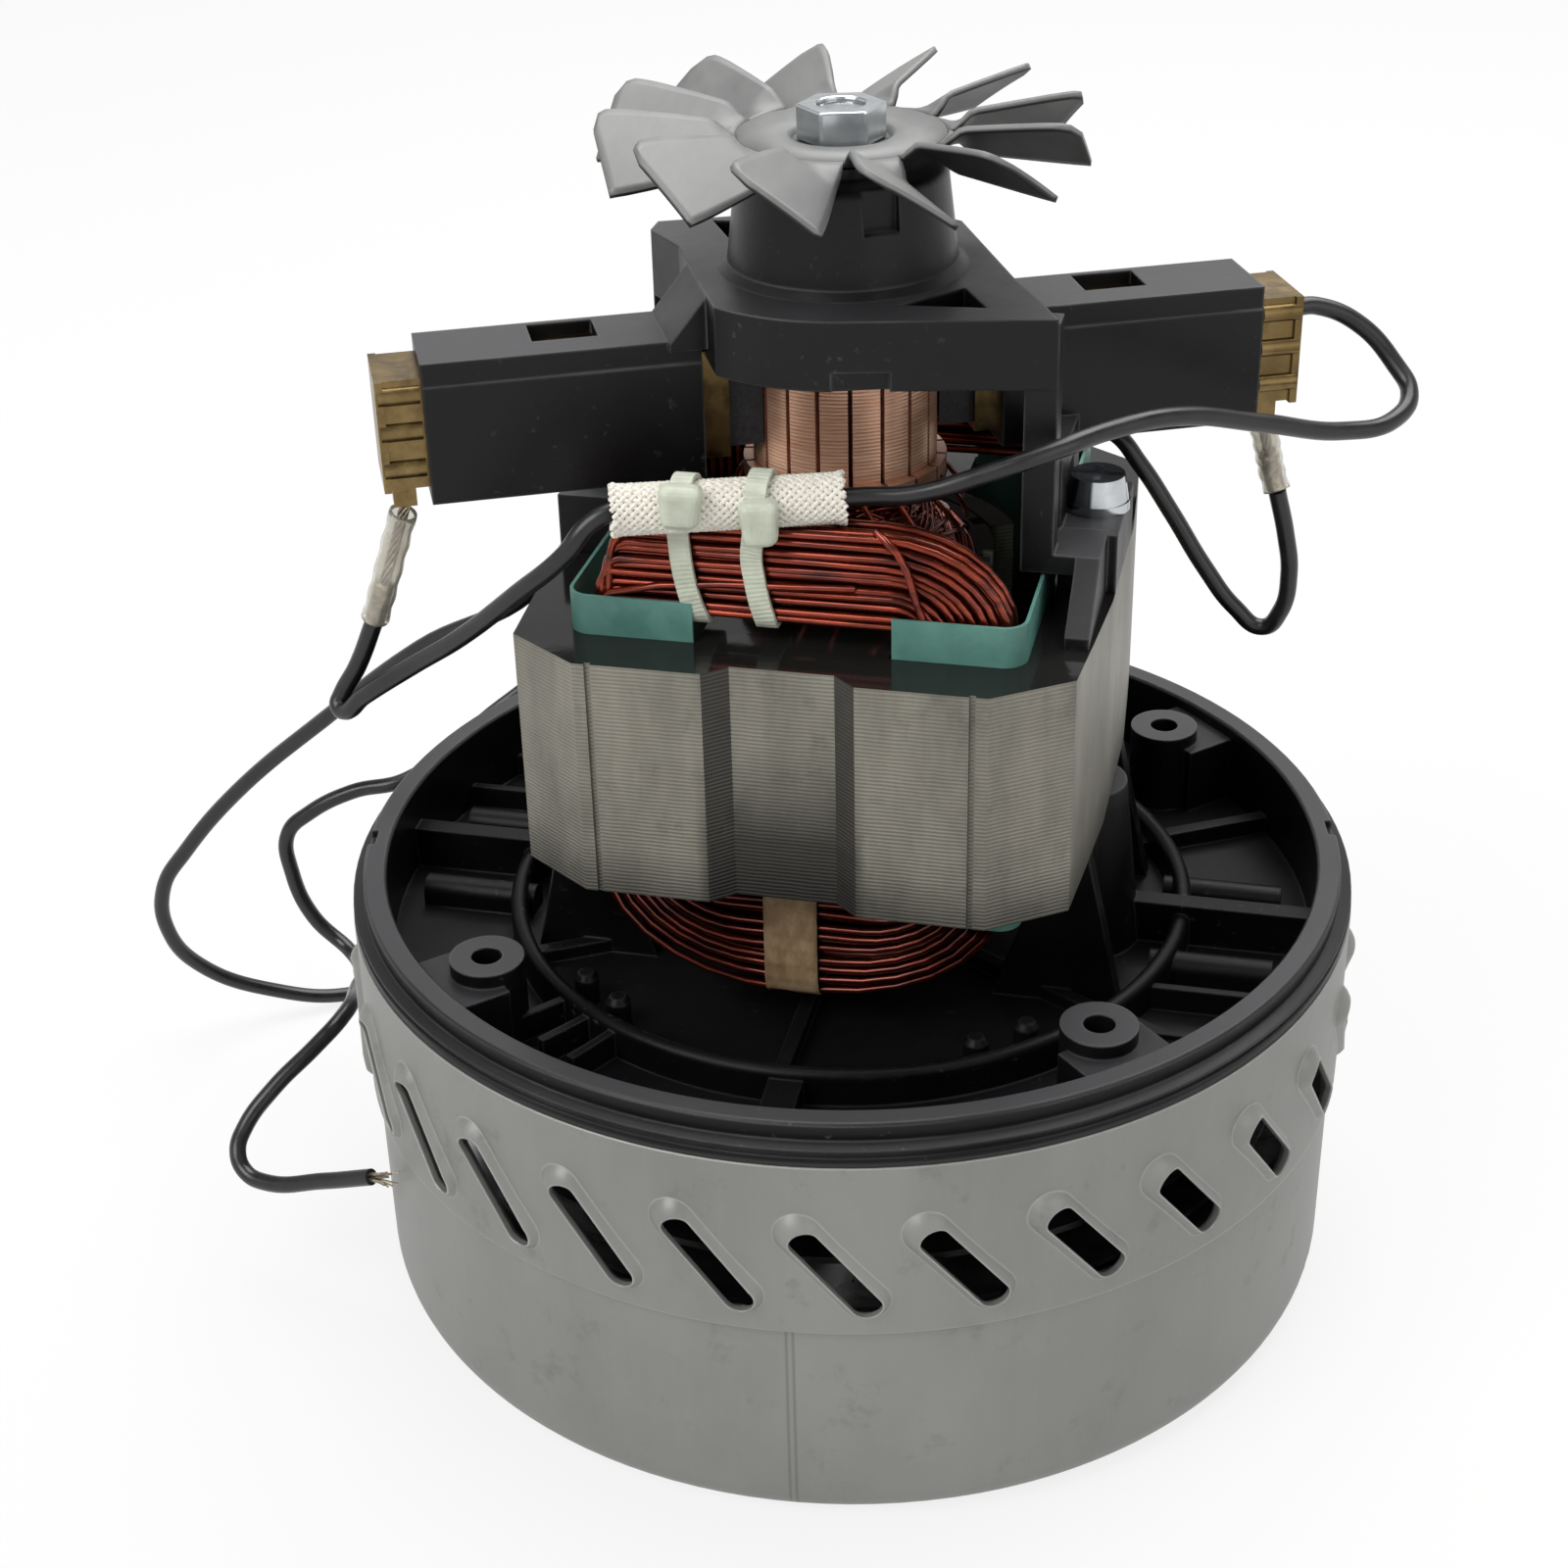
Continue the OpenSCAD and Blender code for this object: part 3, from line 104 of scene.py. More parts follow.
def times(tree, first, second):
    return calc(tree, "MULTIPLY", first, second)


def spread(tree, value, low, high, toLow=0.0, toHigh=1.0):  # clamped range to range
    return addNode(tree, "MapRange", {
        0: value, 1: low, 2: high, 3: toLow, 4: toHigh}).outputs[0]


def mixed(tree, factor, first, second):
    return addNode(tree, "Mix", {0: factor, 6: first, 7: second}, data_type="RGBA").outputs[2]


def tinted(tree, factor, tone, hexText):
    return mixed(tree, factor, tone, linear(hexText))


def splitXyz(tree, vector):
    return addNode(tree, "SeparateXYZ", {0: vector}).outputs


def noise(tree, vector, grainMm, detail, rough=0.5):
    return addNode(tree, "TexNoise", {
        "Vector": vector, "Scale": 1000 / grainMm, "Detail": detail, "Roughness": rough}).outputs[0]


def levelLines(tree, vector, pitchMm, distortion, detail, detailScale=1.0):
    # level bands up the height; the wave texture repeats every tau / 20 units at scale 1
    return addNode(tree, "TexWave", {
        "Vector": vector, "Scale": math.tau / 20 / (pitchMm * mm), "Distortion": distortion,
        "Detail": detail, "Detail Scale": detailScale}, bands_direction="Z").outputs["Fac"]


def emboss(shader, height, depthMm, strength, normal=None):
    inputs = {"Height": height, "Distance": depthMm * mm, "Strength": strength}
    if normal:
        inputs["Normal"] = normal
    plug(shader, Normal=addNode(shader.id_data, "Bump", inputs).outputs[0])


def startFinish(name, dark, pale, grainMm, rough, bumpMm=0.0, stretch=(1, 1, 1), **sockets):
    # constants on the shader's sockets; uneven tone, gloss and relief from one noise of a given grain
    material = bpy.data.materials.new(name)
    material.use_nodes = True
    tree = material.node_tree
    shader = tree.nodes["Principled BSDF"]
    for key, value in sockets.items():
        shader.inputs[key.replace("_", " ")].default_value = value
    coords = addNode(tree, "TexCoord").outputs
    drawn = addNode(tree, "Mapping", {0: coords["Object"], "Scale": stretch})
    grain = noise(tree, drawn.outputs[0], grainMm, 5.0, 0.62)
    tone = mixed(tree, spread(tree, grain, 0.3, 0.7), linear(dark), linear(pale))
    plug(shader, Base_Color=tone, Roughness=spread(tree, grain, 0.3, 0.7, *rough))
    if bumpMm:
        emboss(shader, grain, bumpMm, 1.0)
    return material, tree, shader, {"spot": coords["Object"], "facing": coords["Normal"], "tone": tone}


def plainFinish(*facts, **sockets):
    return startFinish(*facts, **sockets)[0]


def roundedEdgeMask(tree, radiusMm):
    # rounded shading for sharp edges, and a mask that is 1 along them
    rounded = addNode(tree, "Bevel", {"Radius": radiusMm * mm}, samples=4).outputs[0]
    flat = addNode(tree, "NewGeometry").outputs["Normal"]
    turn = addNode(tree, "VectorMath", {0: rounded, 1: flat}, operation="DOT_PRODUCT")
    return rounded, spread(tree, turn.outputs["Value"], 0.985, 0.8)


def zincSheet():
    # deep-drawn zinc-plated steel: satin grey, faint upright draw lines, cloudy patches and dark smudges,
    # with a painted highlight along its edges and rims
    material, tree, shader, made = startFinish(
        "zincPlatedSheet", "#7d7e7a", "#8d8e8a", 26, (0.44, 0.54), 0.0, (1, 1, 0.5), Metallic=0.4)
    rounded, edge = roundedEdgeMask(tree, 0.45)
    x, y, z = splitXyz(tree, made["spot"])
    around = calc(tree, "ARCTAN2", y, x)
    radius, linePitch, lineLength = 72, 0.5, 40  # of the wall and its draw lines, in mm
    wall = addNode(tree, "CombineXYZ", {0: around, 2: z}).outputs[0]
    drawn = addNode(tree, "Mapping", {
        0: wall, "Scale": (radius / linePitch, 1, 1000 / lineLength)}).outputs[0]
    lines = noise(tree, drawn, 1000, 3.0)
    smudge = noise(tree, made["spot"], 9, 8.0, 0.72)
    marked = tinted(tree, spread(tree, smudge, 0.57, 0.72, 0.0, 0.5), made["tone"], "#595a58")
    lined = tinted(tree, spread(tree, lines, 0.35, 0.7, 0.0, 0.03), marked, "#a6a7a4")
    # the rolled seam, a pair of fine upright lines on the lower wall
    seamAngle, seamHalf = math.radians(-84.7), 0.45 / radius
    offset = calc(tree, "ABSOLUTE", calc(tree, "SUBTRACT", around, seamAngle))
    width = calc(tree, "ABSOLUTE", calc(tree, "SUBTRACT", offset, seamHalf))
    onSeam = spread(tree, width, 0.10 / radius, 0.28 / radius, 1.0, 0.0)
    seam = times(tree, onSeam, spread(tree, z, 0.0335, 0.0328))
    seamed = tinted(tree, times(tree, seam, 0.4), lined, "#4f504e")
    # painted highlight: every sharp edge and rim is lightened towards pale grey, as if catching the light
    plug(shader, Base_Color=tinted(tree, times(tree, edge, 0.75), seamed, "#cfd0cc"))
    emboss(shader, calc(tree, "SUBTRACT", lines, seam), 0.012, 0.6, rounded)
    return material


def blackMoulding():
    # glass-filled black polyester moulding: near black, satin skin with fine grain, pale dust and scuffs,
    # with a painted highlight on faces that look up and along edges
    material, tree, shader, made = startFinish(
        "blackMoulding", "#070709", "#0d0d0f", 14, (0.32, 0.46))
    rounded, edge = roundedEdgeMask(tree, 0.5)
    fine = noise(tree, made["spot"], 0.7, 3.0)
    specks = noise(tree, made["spot"], 1.1, 2.0)
    patches = noise(tree, made["spot"], 22, 3.0)
    dust = times(tree, spread(tree, specks, 0.66, 0.76, 0.0, 0.22),
                 spread(tree, patches, 0.45, 0.65, 0.1, 1.0))
    # faces that look up are lightened, partly as settled dust and partly as a painted highlight; inside the
    # bowl there is little dust, painted highlight or sheen
    outside = spread(tree, splitXyz(tree, made["spot"])[2], 0.0605, 0.065, 0.05, 1.0)
    upward = spread(tree, splitXyz(tree, made["facing"])[2], 0.6, 1.0, 0.0, 0.21)
    dustAndSheen = tinted(tree, times(tree, upward, outside), made["tone"], "#77777a")
    specked = tinted(tree, dust, dustAndSheen, "#6f6f70")
    # edges are lightened towards pale grey, partly scuffs and partly a painted highlight, less inside the
    # bowl
    edgeScuffAndHighlight = times(tree, edge, spread(tree, outside, 0.05, 1.0, 0.35, 1.0))
    patchyEdgeScuffAndHighlight = times(tree, edgeScuffAndHighlight, spread(tree, patches, 0.4, 0.62, 0.1, 0.5))
    plug(shader, Base_Color=tinted(tree, patchyEdgeScuffAndHighlight, specked, "#8a8a88"),
         Specular_IOR_Level=spread(tree, outside, 0.05, 1.0, 0.13, 0.27))
    emboss(shader, fine, 0.03, 0.7, rounded)
    return material


def laminationSteel():
    # stacked silicon steel sheets: sheared edges show as fine level lines, the top sheet is dark varnished,
    # and painted shade darkens the foot of the stack
    material, tree, shader, made = startFinish(
        "siliconSteelLaminations", "#6d6a60", "#938f83", 9, (0.34, 0.50), 0.0, (1, 1, 0.35), Metallic=0.35)
    # sheet edges drawn 0.55 mm apart, a little coarser than the real 0.5 mm, to show in the render
    edges = levelLines(tree, made["spot"], 0.55, 1.6, 3.0, 0.6)
    stains = noise(tree, made["spot"], 7, 7.0, 0.7)
    ruled = tinted(tree, spread(tree, edges, 0.1, 0.75, 0.38, 0.0), made["tone"], "#46443d")
    stained = tinted(tree, spread(tree, stains, 0.56, 0.72, 0.0, 0.5), ruled, "#4c4a42")
    place = splitXyz(tree, made["spot"])
    # painted shade: the lowest 7 mm of the stack darken towards the bottom
    paintedFootShade = tinted(tree, spread(tree, place[2], 0.0775, 0.0845, 0.62, 0.0), stained, "#201f1c")
    # the slanted sides of the upright grooves are darker, and the middle of the broad faces darkens towards
    # the bottom as painted shade
    facing = splitXyz(tree, made["facing"])
    across = calc(tree, "ABSOLUTE", place[0])
    slanted = spread(tree, calc(tree, "ABSOLUTE", facing[0]), 0.12, 0.3, 0.0, 0.8)
    groove = times(tree, spread(tree, across, 0.0195, 0.0185), slanted)
    middle = times(tree, spread(tree, across, 0.0112, 0.0092),
                   spread(tree, place[2], 0.1, 0.086, 0.0, 0.85))
    shaded = tinted(tree, calc(tree, "MAXIMUM", groove, middle), paintedFootShade, "#1d1c1b")
    ends = spread(tree, calc(tree, "ABSOLUTE", facing[2]), 0.5, 0.8)
    plug(shader, Base_Color=tinted(tree, ends, shaded, "#232322"),
         Roughness=spread(tree, ends, 0.0, 1.0, 0.44, 0.1))
    emboss(shader, edges, 0.06, 0.7)
    return material


def enamelledCopper():
    # magnet wire: copper under red-brown polyester enamel, glossy, each turn a little lighter or darker
    material, tree, shader, made = startFinish(
        "enamelledCopperWire", "#380e07", "#98391f", 1.6, (0.19, 0.30), 0.0, (0.18, 1, 1),
        Metallic=0.82, Coat_Weight=0.4, Coat_Roughness=0.08)
    # painted shade: the lower end turns are darkened towards the bottom
    paintedLowShade = spread(tree, splitXyz(tree, made["spot"])[2], 0.085, 0.072, 0.0, 0.55)
    plug(shader, Base_Color=tinted(tree, paintedLowShade, made["tone"], "#2a0b07"))
    return material


def linerFilm():
    # teal polyester slot liner: satin film, a little light comes through its edge
    return plainFinish("polyesterSlotLiner", "#4a796e", "#5f9085", 5, (0.40, 0.54), 0.05,
                       Subsurface_Weight=0.15, Subsurface_Radius=(1, 1, 1), Subsurface_Scale=0.6 * mm)


def paperTape():
    # creped paper tape: tan, fibrous, stained by varnish
    material, tree, shader, made = startFinish(
        "crepedPaperTape", "#7b6043", "#a28a68", 1.4, (0.6, 0.8), 0.08, (1, 1, 0.4))
    stain = spread(tree, noise(tree, made["spot"], 4, 4.0), 0.5, 0.7, 0.0, 0.55)
    plug(shader, Base_Color=tinted(tree, stain, made["tone"], "#6b5236"))
    return material


def zincSteel():
    # bright zinc-plated steel with a trace of blue passivation
    return plainFinish("zincPlatedSteel", "#b0b5ba", "#d0d3d5", 5, (0.15, 0.24), Metallic=1.0)


def brassSheet():
    # pressed brass: warm yellow, mottled, with brown stains
    material, tree, shader, made = startFinish(
        "pressedBrass", "#635237", "#927c52", 3.0, (0.26, 0.42), 0.02, Metallic=1.0)
    stain = spread(tree, noise(tree, made["spot"], 6, 5.0), 0.52, 0.72, 0.0, 0.5)
    plug(shader, Base_Color=tinted(tree, stain, made["tone"], "#4a3718"))
    return material


def carbonBlock():
    # pressed electrographite: dark grey with a soft metallic grain
    return plainFinish("electrographite", "#222223", "#3a3a3b", 0.6, (0.5, 0.66), 0.03, Metallic=0.2)


def springSteel():
    # drawn spring wire: grey with a fine uneven grain
    return plainFinish("drawnSpringWire", "#7c7d7e", "#b4b5b6", 0.5, (0.24, 0.36), 0.01, Metallic=1.0)


def bearingSteel():
    # ground chromium steel: mirror-like with faint grinding rings
    return plainFinish("groundBearingSteel", "#a6a8aa", "#cbcccd", 2.0, (0.10, 0.20), 0.005, (1, 1, 6),
                       Metallic=1.0)


def cageNylon():
    # moulded nylon cage: warm cream, slightly waxy
    return plainFinish("cageNylon", "#b08f5c", "#c9a972", 3.0, (0.4, 0.55), 0.02, Subsurface_Weight=0.1)


def commutatorCopper():
    # turned copper bars: fine rings from the lathe, a darker polished brush track, brown oxide at the foot
    material, tree, shader, made = startFinish(
        "turnedCommutatorCopper", "#efb18d", "#ffd8bc", 1.1, (0.28, 0.40), 0.0, (0.25, 0.25, 4),
        Metallic=0.55)
    rings = levelLines(tree, made["spot"], 0.5, 0.8, 2.0)  # 0.5 mm apart, so that they show
    z = splitXyz(tree, made["spot"])[2]
    track = times(tree, spread(tree, z, 0.1275, 0.1295), spread(tree, z, 0.1405, 0.1395))
    ringed = tinted(tree, spread(tree, rings, 0.2, 0.8, 0.35, 0.0), made["tone"], "#8f5a3f")
    darker = tinted(tree, times(tree, track, 0.15), ringed, "#8a4f35")
    foot = spread(tree, z, 0.1262, 0.1240, 0.0, 0.6)
    plug(shader, Base_Color=tinted(tree, foot, darker, "#6a3419"))
    emboss(shader, rings, 0.02, 0.6)
    return material


def phenolicMoulding():
    # brown phenolic under the bars: dull, with flecks of filler
    return plainFinish("brownPhenolic", "#3a1d12", "#5b3120", 0.9, (0.42, 0.58), 0.02)


def fanSheet():
    # pressed aluminium sheet: satin grey with fine rolling lines, painted shade on its undersides, and darker
    # cut edges
    material, tree, shader, made = startFinish(
        "pressedAluminium", "#6a6b6a", "#7e7f7d", 7, (0.46, 0.56), 0.01, (1, 0.3, 1), Metallic=0.3)
    facing = splitXyz(tree, made["facing"])[2]
    # painted shade: faces that turn downwards are darkened towards near black
    under = tinted(tree, spread(tree, facing, 0.1, -0.3), made["tone"], "#262626")
    darkerEdges = times(tree, roundedEdgeMask(tree, 0.3)[1], 0.75)
    plug(shader, Base_Color=tinted(tree, darkerEdges, under, "#454544"))
    return material


def braidedGlass():
    # braided glass-fibre sleeve: off-white yarns with a silky sheen
    return plainFinish("braidedGlassYarn", "#d6d1c4", "#ece8de", 0.8, (0.5, 0.7), 0.04,
                       Sheen_Weight=0.35, Sheen_Roughness=0.4)


def protectorCase():
    # tinned can of the cut-out inside the sleeve: dull silver
    return plainFinish("tinnedCan", "#9a9a94", "#c0c0ba", 2.0, (0.3, 0.42), 0.01, Metallic=0.9)


def naturalNylon():
    # natural nylon: milky, faintly green, light enters the thin straps
    return plainFinish("naturalNylon", "#bcc2b0", "#d6dac8", 2.5, (0.28, 0.40), 0.02,
                       Subsurface_Weight=0.4, Subsurface_Radius=(1, 1, 1), Subsurface_Scale=1.2 * mm,
                       Transmission_Weight=0.12)


def clearSleeve():
    # clear vinyl sleeve: glossy, slightly cloudy and yellowed
    return plainFinish("clearVinyl", "#d8d4c8", "#f2f0ea", 3.0, (0.08, 0.2), 0.05,
                       Transmission_Weight=0.85, IOR=1.5)


def leadInsulation():
    # extruded black vinyl: smooth with a soft sheen and handling marks
    return plainFinish("blackVinylInsulation", "#101011", "#1c1c1d", 4, (0.24, 0.38), 0.03,
                       Specular_IOR_Level=0.5)


def tinnedCopper():
    # tinned copper strand: dull silver with copper showing where it is worn
    return plainFinish("tinnedCopperStrand", "#8f7a55", "#cfc9bb", 0.7, (0.28, 0.42), 0.01, Metallic=1.0)


def stageAluminium():
    # rolled aluminium of the impellers: bright, brushed one way
    return plainFinish("rolledAluminium", "#b3b4b4", "#d2d3d3", 4, (0.25, 0.38), 0.01, (0.2, 1, 1),
                       Metallic=1.0)


def gasketRubber():
    # die-cut rubber ring: matt and nearly black
    return plainFinish("dieCutRubber", "#161514", "#242220", 1.5, (0.55, 0.75), 0.04)


finishOf = {
    zincSheet: ["fan_case"],
    gasketRubber: ["case_gasket"],
    blackMoulding: ["base_bracket", "top_bracket"],
    stageAluminium: ["interstage_plate", "first_impeller", "second_impeller"],
    laminationSteel: ["stator_core", "armature_core"],
    enamelledCopper: ["front_field_coil", "rear_field_coil", "armature_winding"],
    linerFilm: ["slot_liners"],
    paperTape: ["coil_tapes"],
    zincSteel: ["frame_screws", "spring_washers", "fan_nut", "impeller_nut", "fan_spacer",
                "impeller_washers", "impeller_spacers"],
    brassSheet: ["left_brush_tube", "right_brush_tube"],
    carbonBlock: ["left_carbon_brush", "right_carbon_brush"],
    springSteel: ["left_brush_spring", "right_brush_spring"],
    bearingSteel: ["upper_outer_ring", "upper_balls", "upper_inner_ring", "lower_outer_ring",
                   "lower_balls", "lower_inner_ring", "shaft"],
    cageNylon: ["upper_cage", "lower_cage"],
    commutatorCopper: ["commutator_bars"],
    phenolicMoulding: ["commutator_hub"],
    fanSheet: ["cooling_fan"],
    braidedGlass: ["protector_sleeve"],
    protectorCase: ["thermal_protector"],
    naturalNylon: ["cable_ties"],
    clearSleeve: ["lead_sleeves"],
    leadInsulation: ["right_protector_lead", "right_field_lead", "left_protector_lead",
                     "first_supply_lead", "second_supply_lead"],
    tinnedCopper: ["lead_crimps", "lead_strands"],
}
finishes = {}
for makeFinish, names in finishOf.items():
    finishes[makeFinish] = makeFinish()
    for name in names:
        nodes[name].data.materials.clear()
        nodes[name].data.materials.append(finishes[makeFinish])
print("finishes made:", len(finishes))


def polar(radius, angle):
    return radius * math.cos(angle), radius * math.sin(angle)


def showPiece(name, mesh, finish, replaced=(), body="motor_frame", smooth=True):
    piece = addObject(name, mesh)
    piece.data.materials.append(finishes[finish])
    if piece.type == "MESH":
        for face in mesh.polygons:
            face.use_smooth = smooth
    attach(piece, body)
    if replaced:
        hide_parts(*replaced)
    return piece


# leads, along the same points as the model's own, in millimetres
sleeveSetup = {"middle": (-8.0, -32.1, 129.55), "turn": 18.0, "length": 28.0, "radius": 3.2}
sleeveTurn = math.radians(sleeveSetup["turn"])


def inSleeve(t):
    x, y, z = sleeveSetup["middle"]
    dx, dy = polar(t, sleeveTurn)
    return (x + dx, y + dy, z)


armTurn = math.radians(25)


def onArm(reach, z):  # a point on the right arm's middle line
    return (*polar(reach, armTurn), z)


def stepFrom(start, end, back):  # a point just past start, on the line that comes from end
    a, b = Vector(start), Vector(end)
    return tuple(a - (b - a).normalized() * back)


rightTab, leftTab = (53.38, 24.89, 123.05), (-53.38, -24.89, 123.05)
rightCrimp, leftCrimp = (56.4, 25.9, 112.0), (-58.7, -26.4, 106.9)
held = {"farEnd": "object", "lay": "hanging"}
free = {"farEnd": "bare", "lay": "loose"}
leads = {
    "rightProtectorLead": {
        "node": "right_protector_lead", **held,
        "points": [onArm(62.9, 138.5), onArm(65.85, 138.4), (65.6, 28.8, 135.8), (70.9, 27.4, 130.8),
                   (73.1, 24.8, 128), (71.3, 19.3, 126), (64.8, 12.8, 126.5), (54.9, 3.6, 130.5),
                   (44.3, -6.9, 134.8), (36.5, -14.7, 135.3), (31.2, -20.6, 134.9), (22.1, -24.4, 132.2),
                   (14, -26.1, 129.9), inSleeve(17), inSleeve(13), inSleeve(9.1)]},
    "rightFieldLead": {
        "node": "right_field_lead", **held,
        "points": [stepFrom(rightCrimp, rightTab, 0.2), (58.1, 26.2, 105.2), (59, 26.4, 99.1),
                   (58.1, 26.8, 92.7), (55.8, 27.3, 89.9), (51.7, 27.4, 92.6), (47.1, 27.5, 98.4),
                   (41.7, 27.3, 107), (37, 27.2, 114), (33, 27.4, 118.4), (25.9, 28.2, 119.8)]},
    "leftProtectorLead": {
        "node": "left_protector_lead", **held,
        "points": [stepFrom(leftCrimp, leftTab, 0.2), (-61.8, -27, 99.7), (-64.2, -27.9, 95.5),
                   (-64.5, -28.6, 94.3), (-63.5, -29.3, 93.9), (-60.1, -30.2, 96.8), (-52.1, -31.6, 102.8),
                   (-43.7, -34.4, 109.2), (-34, -37.9, 118), (-27.2, -39, 124.2), (-24, -37.8, 128.2),
                   inSleeve(-13.4), inSleeve(-9.1)]},
    "firstSupplyLead": {
        "node": "first_supply_lead", **free,
        "points": [(-25.6, 28.6, 119.8), (-30, 29.4, 118.6), (-38.6, 28.2, 113), (-49.1, 14, 94.5),
                   (-69.2, 13.8, 82), (-87.9, 16, 66.4), (-105.1, 16.4, 51), (-114.8, 15.3, 39.8),
                   (-119.6, 14.8, 32.5), (-120.8, 16.1, 22.9), (-117.9, 19.8, 14), (-108.5, 26.9, 5.4),
                   (-98, 33, 1.8), (-88, 44, 1.4), (-76, 57, 1.4)]},
    "secondSupplyLead": {
        "node": "second_supply_lead", **free,
        "points": [(-6, 33.6, 64.5), (-16, 38.5, 63.5), (-30, 47, 65), (-43, 53.6, 66.6), (-49.5, 54.5, 66.1),
                   (-57, 53.5, 63), (-68, 43, 57), (-78.4, 24.1, 52.2), (-87.2, 22.3, 50), (-94.7, 20.7, 46),
                   (-98.4, 19.9, 42.3), (-98.6, 19.8, 34.8), (-95.6, 19.4, 26.8), (-89.1, 17.8, 21.9),
                   (-83, 8, 24.5), (-78.5, -4, 30), (-75.8, -16.6, 33.2), (-78.4, -21.9, 31),
                   (-82.7, -27.9, 27.4), (-85.9, -32.7, 23.1), (-86, -35.8, 20.9), (-84.4, -37.5, 18.8),
                   (-80.8, -38.8, 18.3), (-70.4, -40.6, 21.5), (-61.8, -42.6, 25.1)]},
}
leadDiameter = 2.5


def leadLength(spline, steps=24):
    total = 0.0
    knots = spline.bezier_points
    for a, b in zip(knots[:-1], knots[1:]):
        dots = interpolate_bezier(a.co, a.handle_right, b.handle_left, b.co, steps + 1)
        total += sum((q - p).length for p, q in zip(dots[:-1], dots[1:]))
    return total


for leadName, facts in leads.items():
    line = bpy.data.curves.new(leadName, "CURVE")
    line.dimensions = "3D"
    line.bevel_depth = leadDiameter / 2 * mm
    line.bevel_resolution = 4
    line.resolution_u = 10
    line.use_fill_caps = True
    spline = line.splines.new("BEZIER")
    spline.bezier_points.add(len(facts["points"]) - 1)
    for knot, point in zip(spline.bezier_points, facts["points"]):
        knot.co = Vector(point) * mm
        knot.handle_left_type = knot.handle_right_type = "AUTO"
    piece = showPiece(leadName, line, leadInsulation, [facts["node"]])
    bpy.context.view_layer.update()
    leadLength(spline)
print("leads laid:", len(leads))


def wireMesh(name, paths, thickness, closed=False):
    # six-sided wire along many paths, as one mesh
    line = bpy.data.curves.new(name + "Line", "CURVE")
    line.dimensions = "3D"
    line.bevel_depth = thickness / 2 * mm
    line.bevel_resolution = 1
    line.use_fill_caps = not closed
    for path in paths:
        spline = line.splines.new("POLY")
        spline.points.add(len(path) - 1)
        for knot, point in zip(spline.points, path):
            knot.co = (*(Vector(point) * mm), 1)
        spline.use_cyclic_u = closed
    holder = addObject(name + "Line", line)
    mesh = bpy.data.meshes.new_from_object(holder.evaluated_get(bpy.context.evaluated_depsgraph_get()))
    bpy.data.objects.remove(holder)
    bpy.data.curves.remove(line)
    mesh.name = name
    return mesh


def blendRange(pair, share):
    return pair[0] + (pair[1] - pair[0]) * share


def wander(amount, dice):  # a slow drift along a wire
    turns, start = dice.uniform(0.7, 2.2), dice.uniform(0, math.tau)
    return lambda s: amount * math.sin(math.tau * turns * s + start)


# field coils: every turn is its own wire round the pole, square at its upper left, swept at its other corners
coilSetup = {
    "wire": 1.04, "turns": 11, "layers": 6, "seed": 11,
    "half": (14.1, 27.3), "left": (26.6, 23.8), "top": (114.5, 125.7), "low": (75.9, 58.7),
    "corner": 1.2, "depth": (-31.8, -25.9), "drift": 0.26, "leftCurve": ((1.4, 3.4), (1.8, 6.4)),
    "slotMiddle": 94.2, "slotHalf": 17.0, "slotFade": 5.0,  # no drift inside the slot
    "reach": (1.15, 1.8),  # how far a corner's curve spreads, above and below
    "strays": [[(10.4, -31.2, 126.9), (11.6, -32.2, 126.4), (13.4, -32.8, 124.8), (14.6, -32.9, 122.6),
                (15.3, -32.9, 120.2), (15.9, -32.8, 118.0), (16.9, -32.6, 115.4), (17.6, -32.2, 113.2)],
               [(-25.3, -31.8, 114.6), (-23.6, -32.6, 116.5), (-17, -32.8, 118.1), (-9, -32.8, 118.9),
                (0, -32.7, 119.2), (8, -32.3, 119.4)]],
}


def coilTurn(share, y, dice):
    half, left, top, low = (blendRange(coilSetup[key], share) for key in ("half", "left", "top", "low"))
    wideTop, wideLow = (coilSetup["corner"] + (half - coilSetup["half"][0]) * k for k in coilSetup["reach"])
    highTop = coilSetup["corner"] + top - coilSetup["top"][0]
    highLow = coilSetup["corner"] + coilSetup["low"][0] - low
    wideLeft, highLeft = (blendRange(pair, share) for pair in coilSetup["leftCurve"])
    corners = [(half - wideTop, top - highTop, wideTop, highTop, 0),
               (wideLeft - left, top - highLeft, wideLeft, highLeft, 90),
               (wideLow - half, low + highLow, wideLow, highLow, 180),
               (half - wideLow, low + highLow, wideLow, highLow, 270)]
    points = []
    for index, (x, z, rx, rz, start) in enumerate(corners):
        for k in range(8):
            a = math.radians(start + 90 * k / 7)
            points.append([x + rx * math.cos(a), y, z + rz * math.sin(a)])
        if index in (0, 2):  # the level runs get a few more points, to drift
            reach = corners[(index + 1) % 4][0] - x
            points += [[x + reach * k / 6, y, points[-1][2]] for k in range(1, 6)]
    sideways, upright = wander(coilSetup["drift"], dice), wander(coilSetup["drift"], dice)
    for index, point in enumerate(points):
        past = abs(point[2] - coilSetup["slotMiddle"]) - coilSetup["slotHalf"]
        loose = min(1.0, max(0.0, past / coilSetup["slotFade"]))
        s = index / len(points)
        point[1] += sideways(s) * loose
        point[2] += upright(s) * loose
    return points


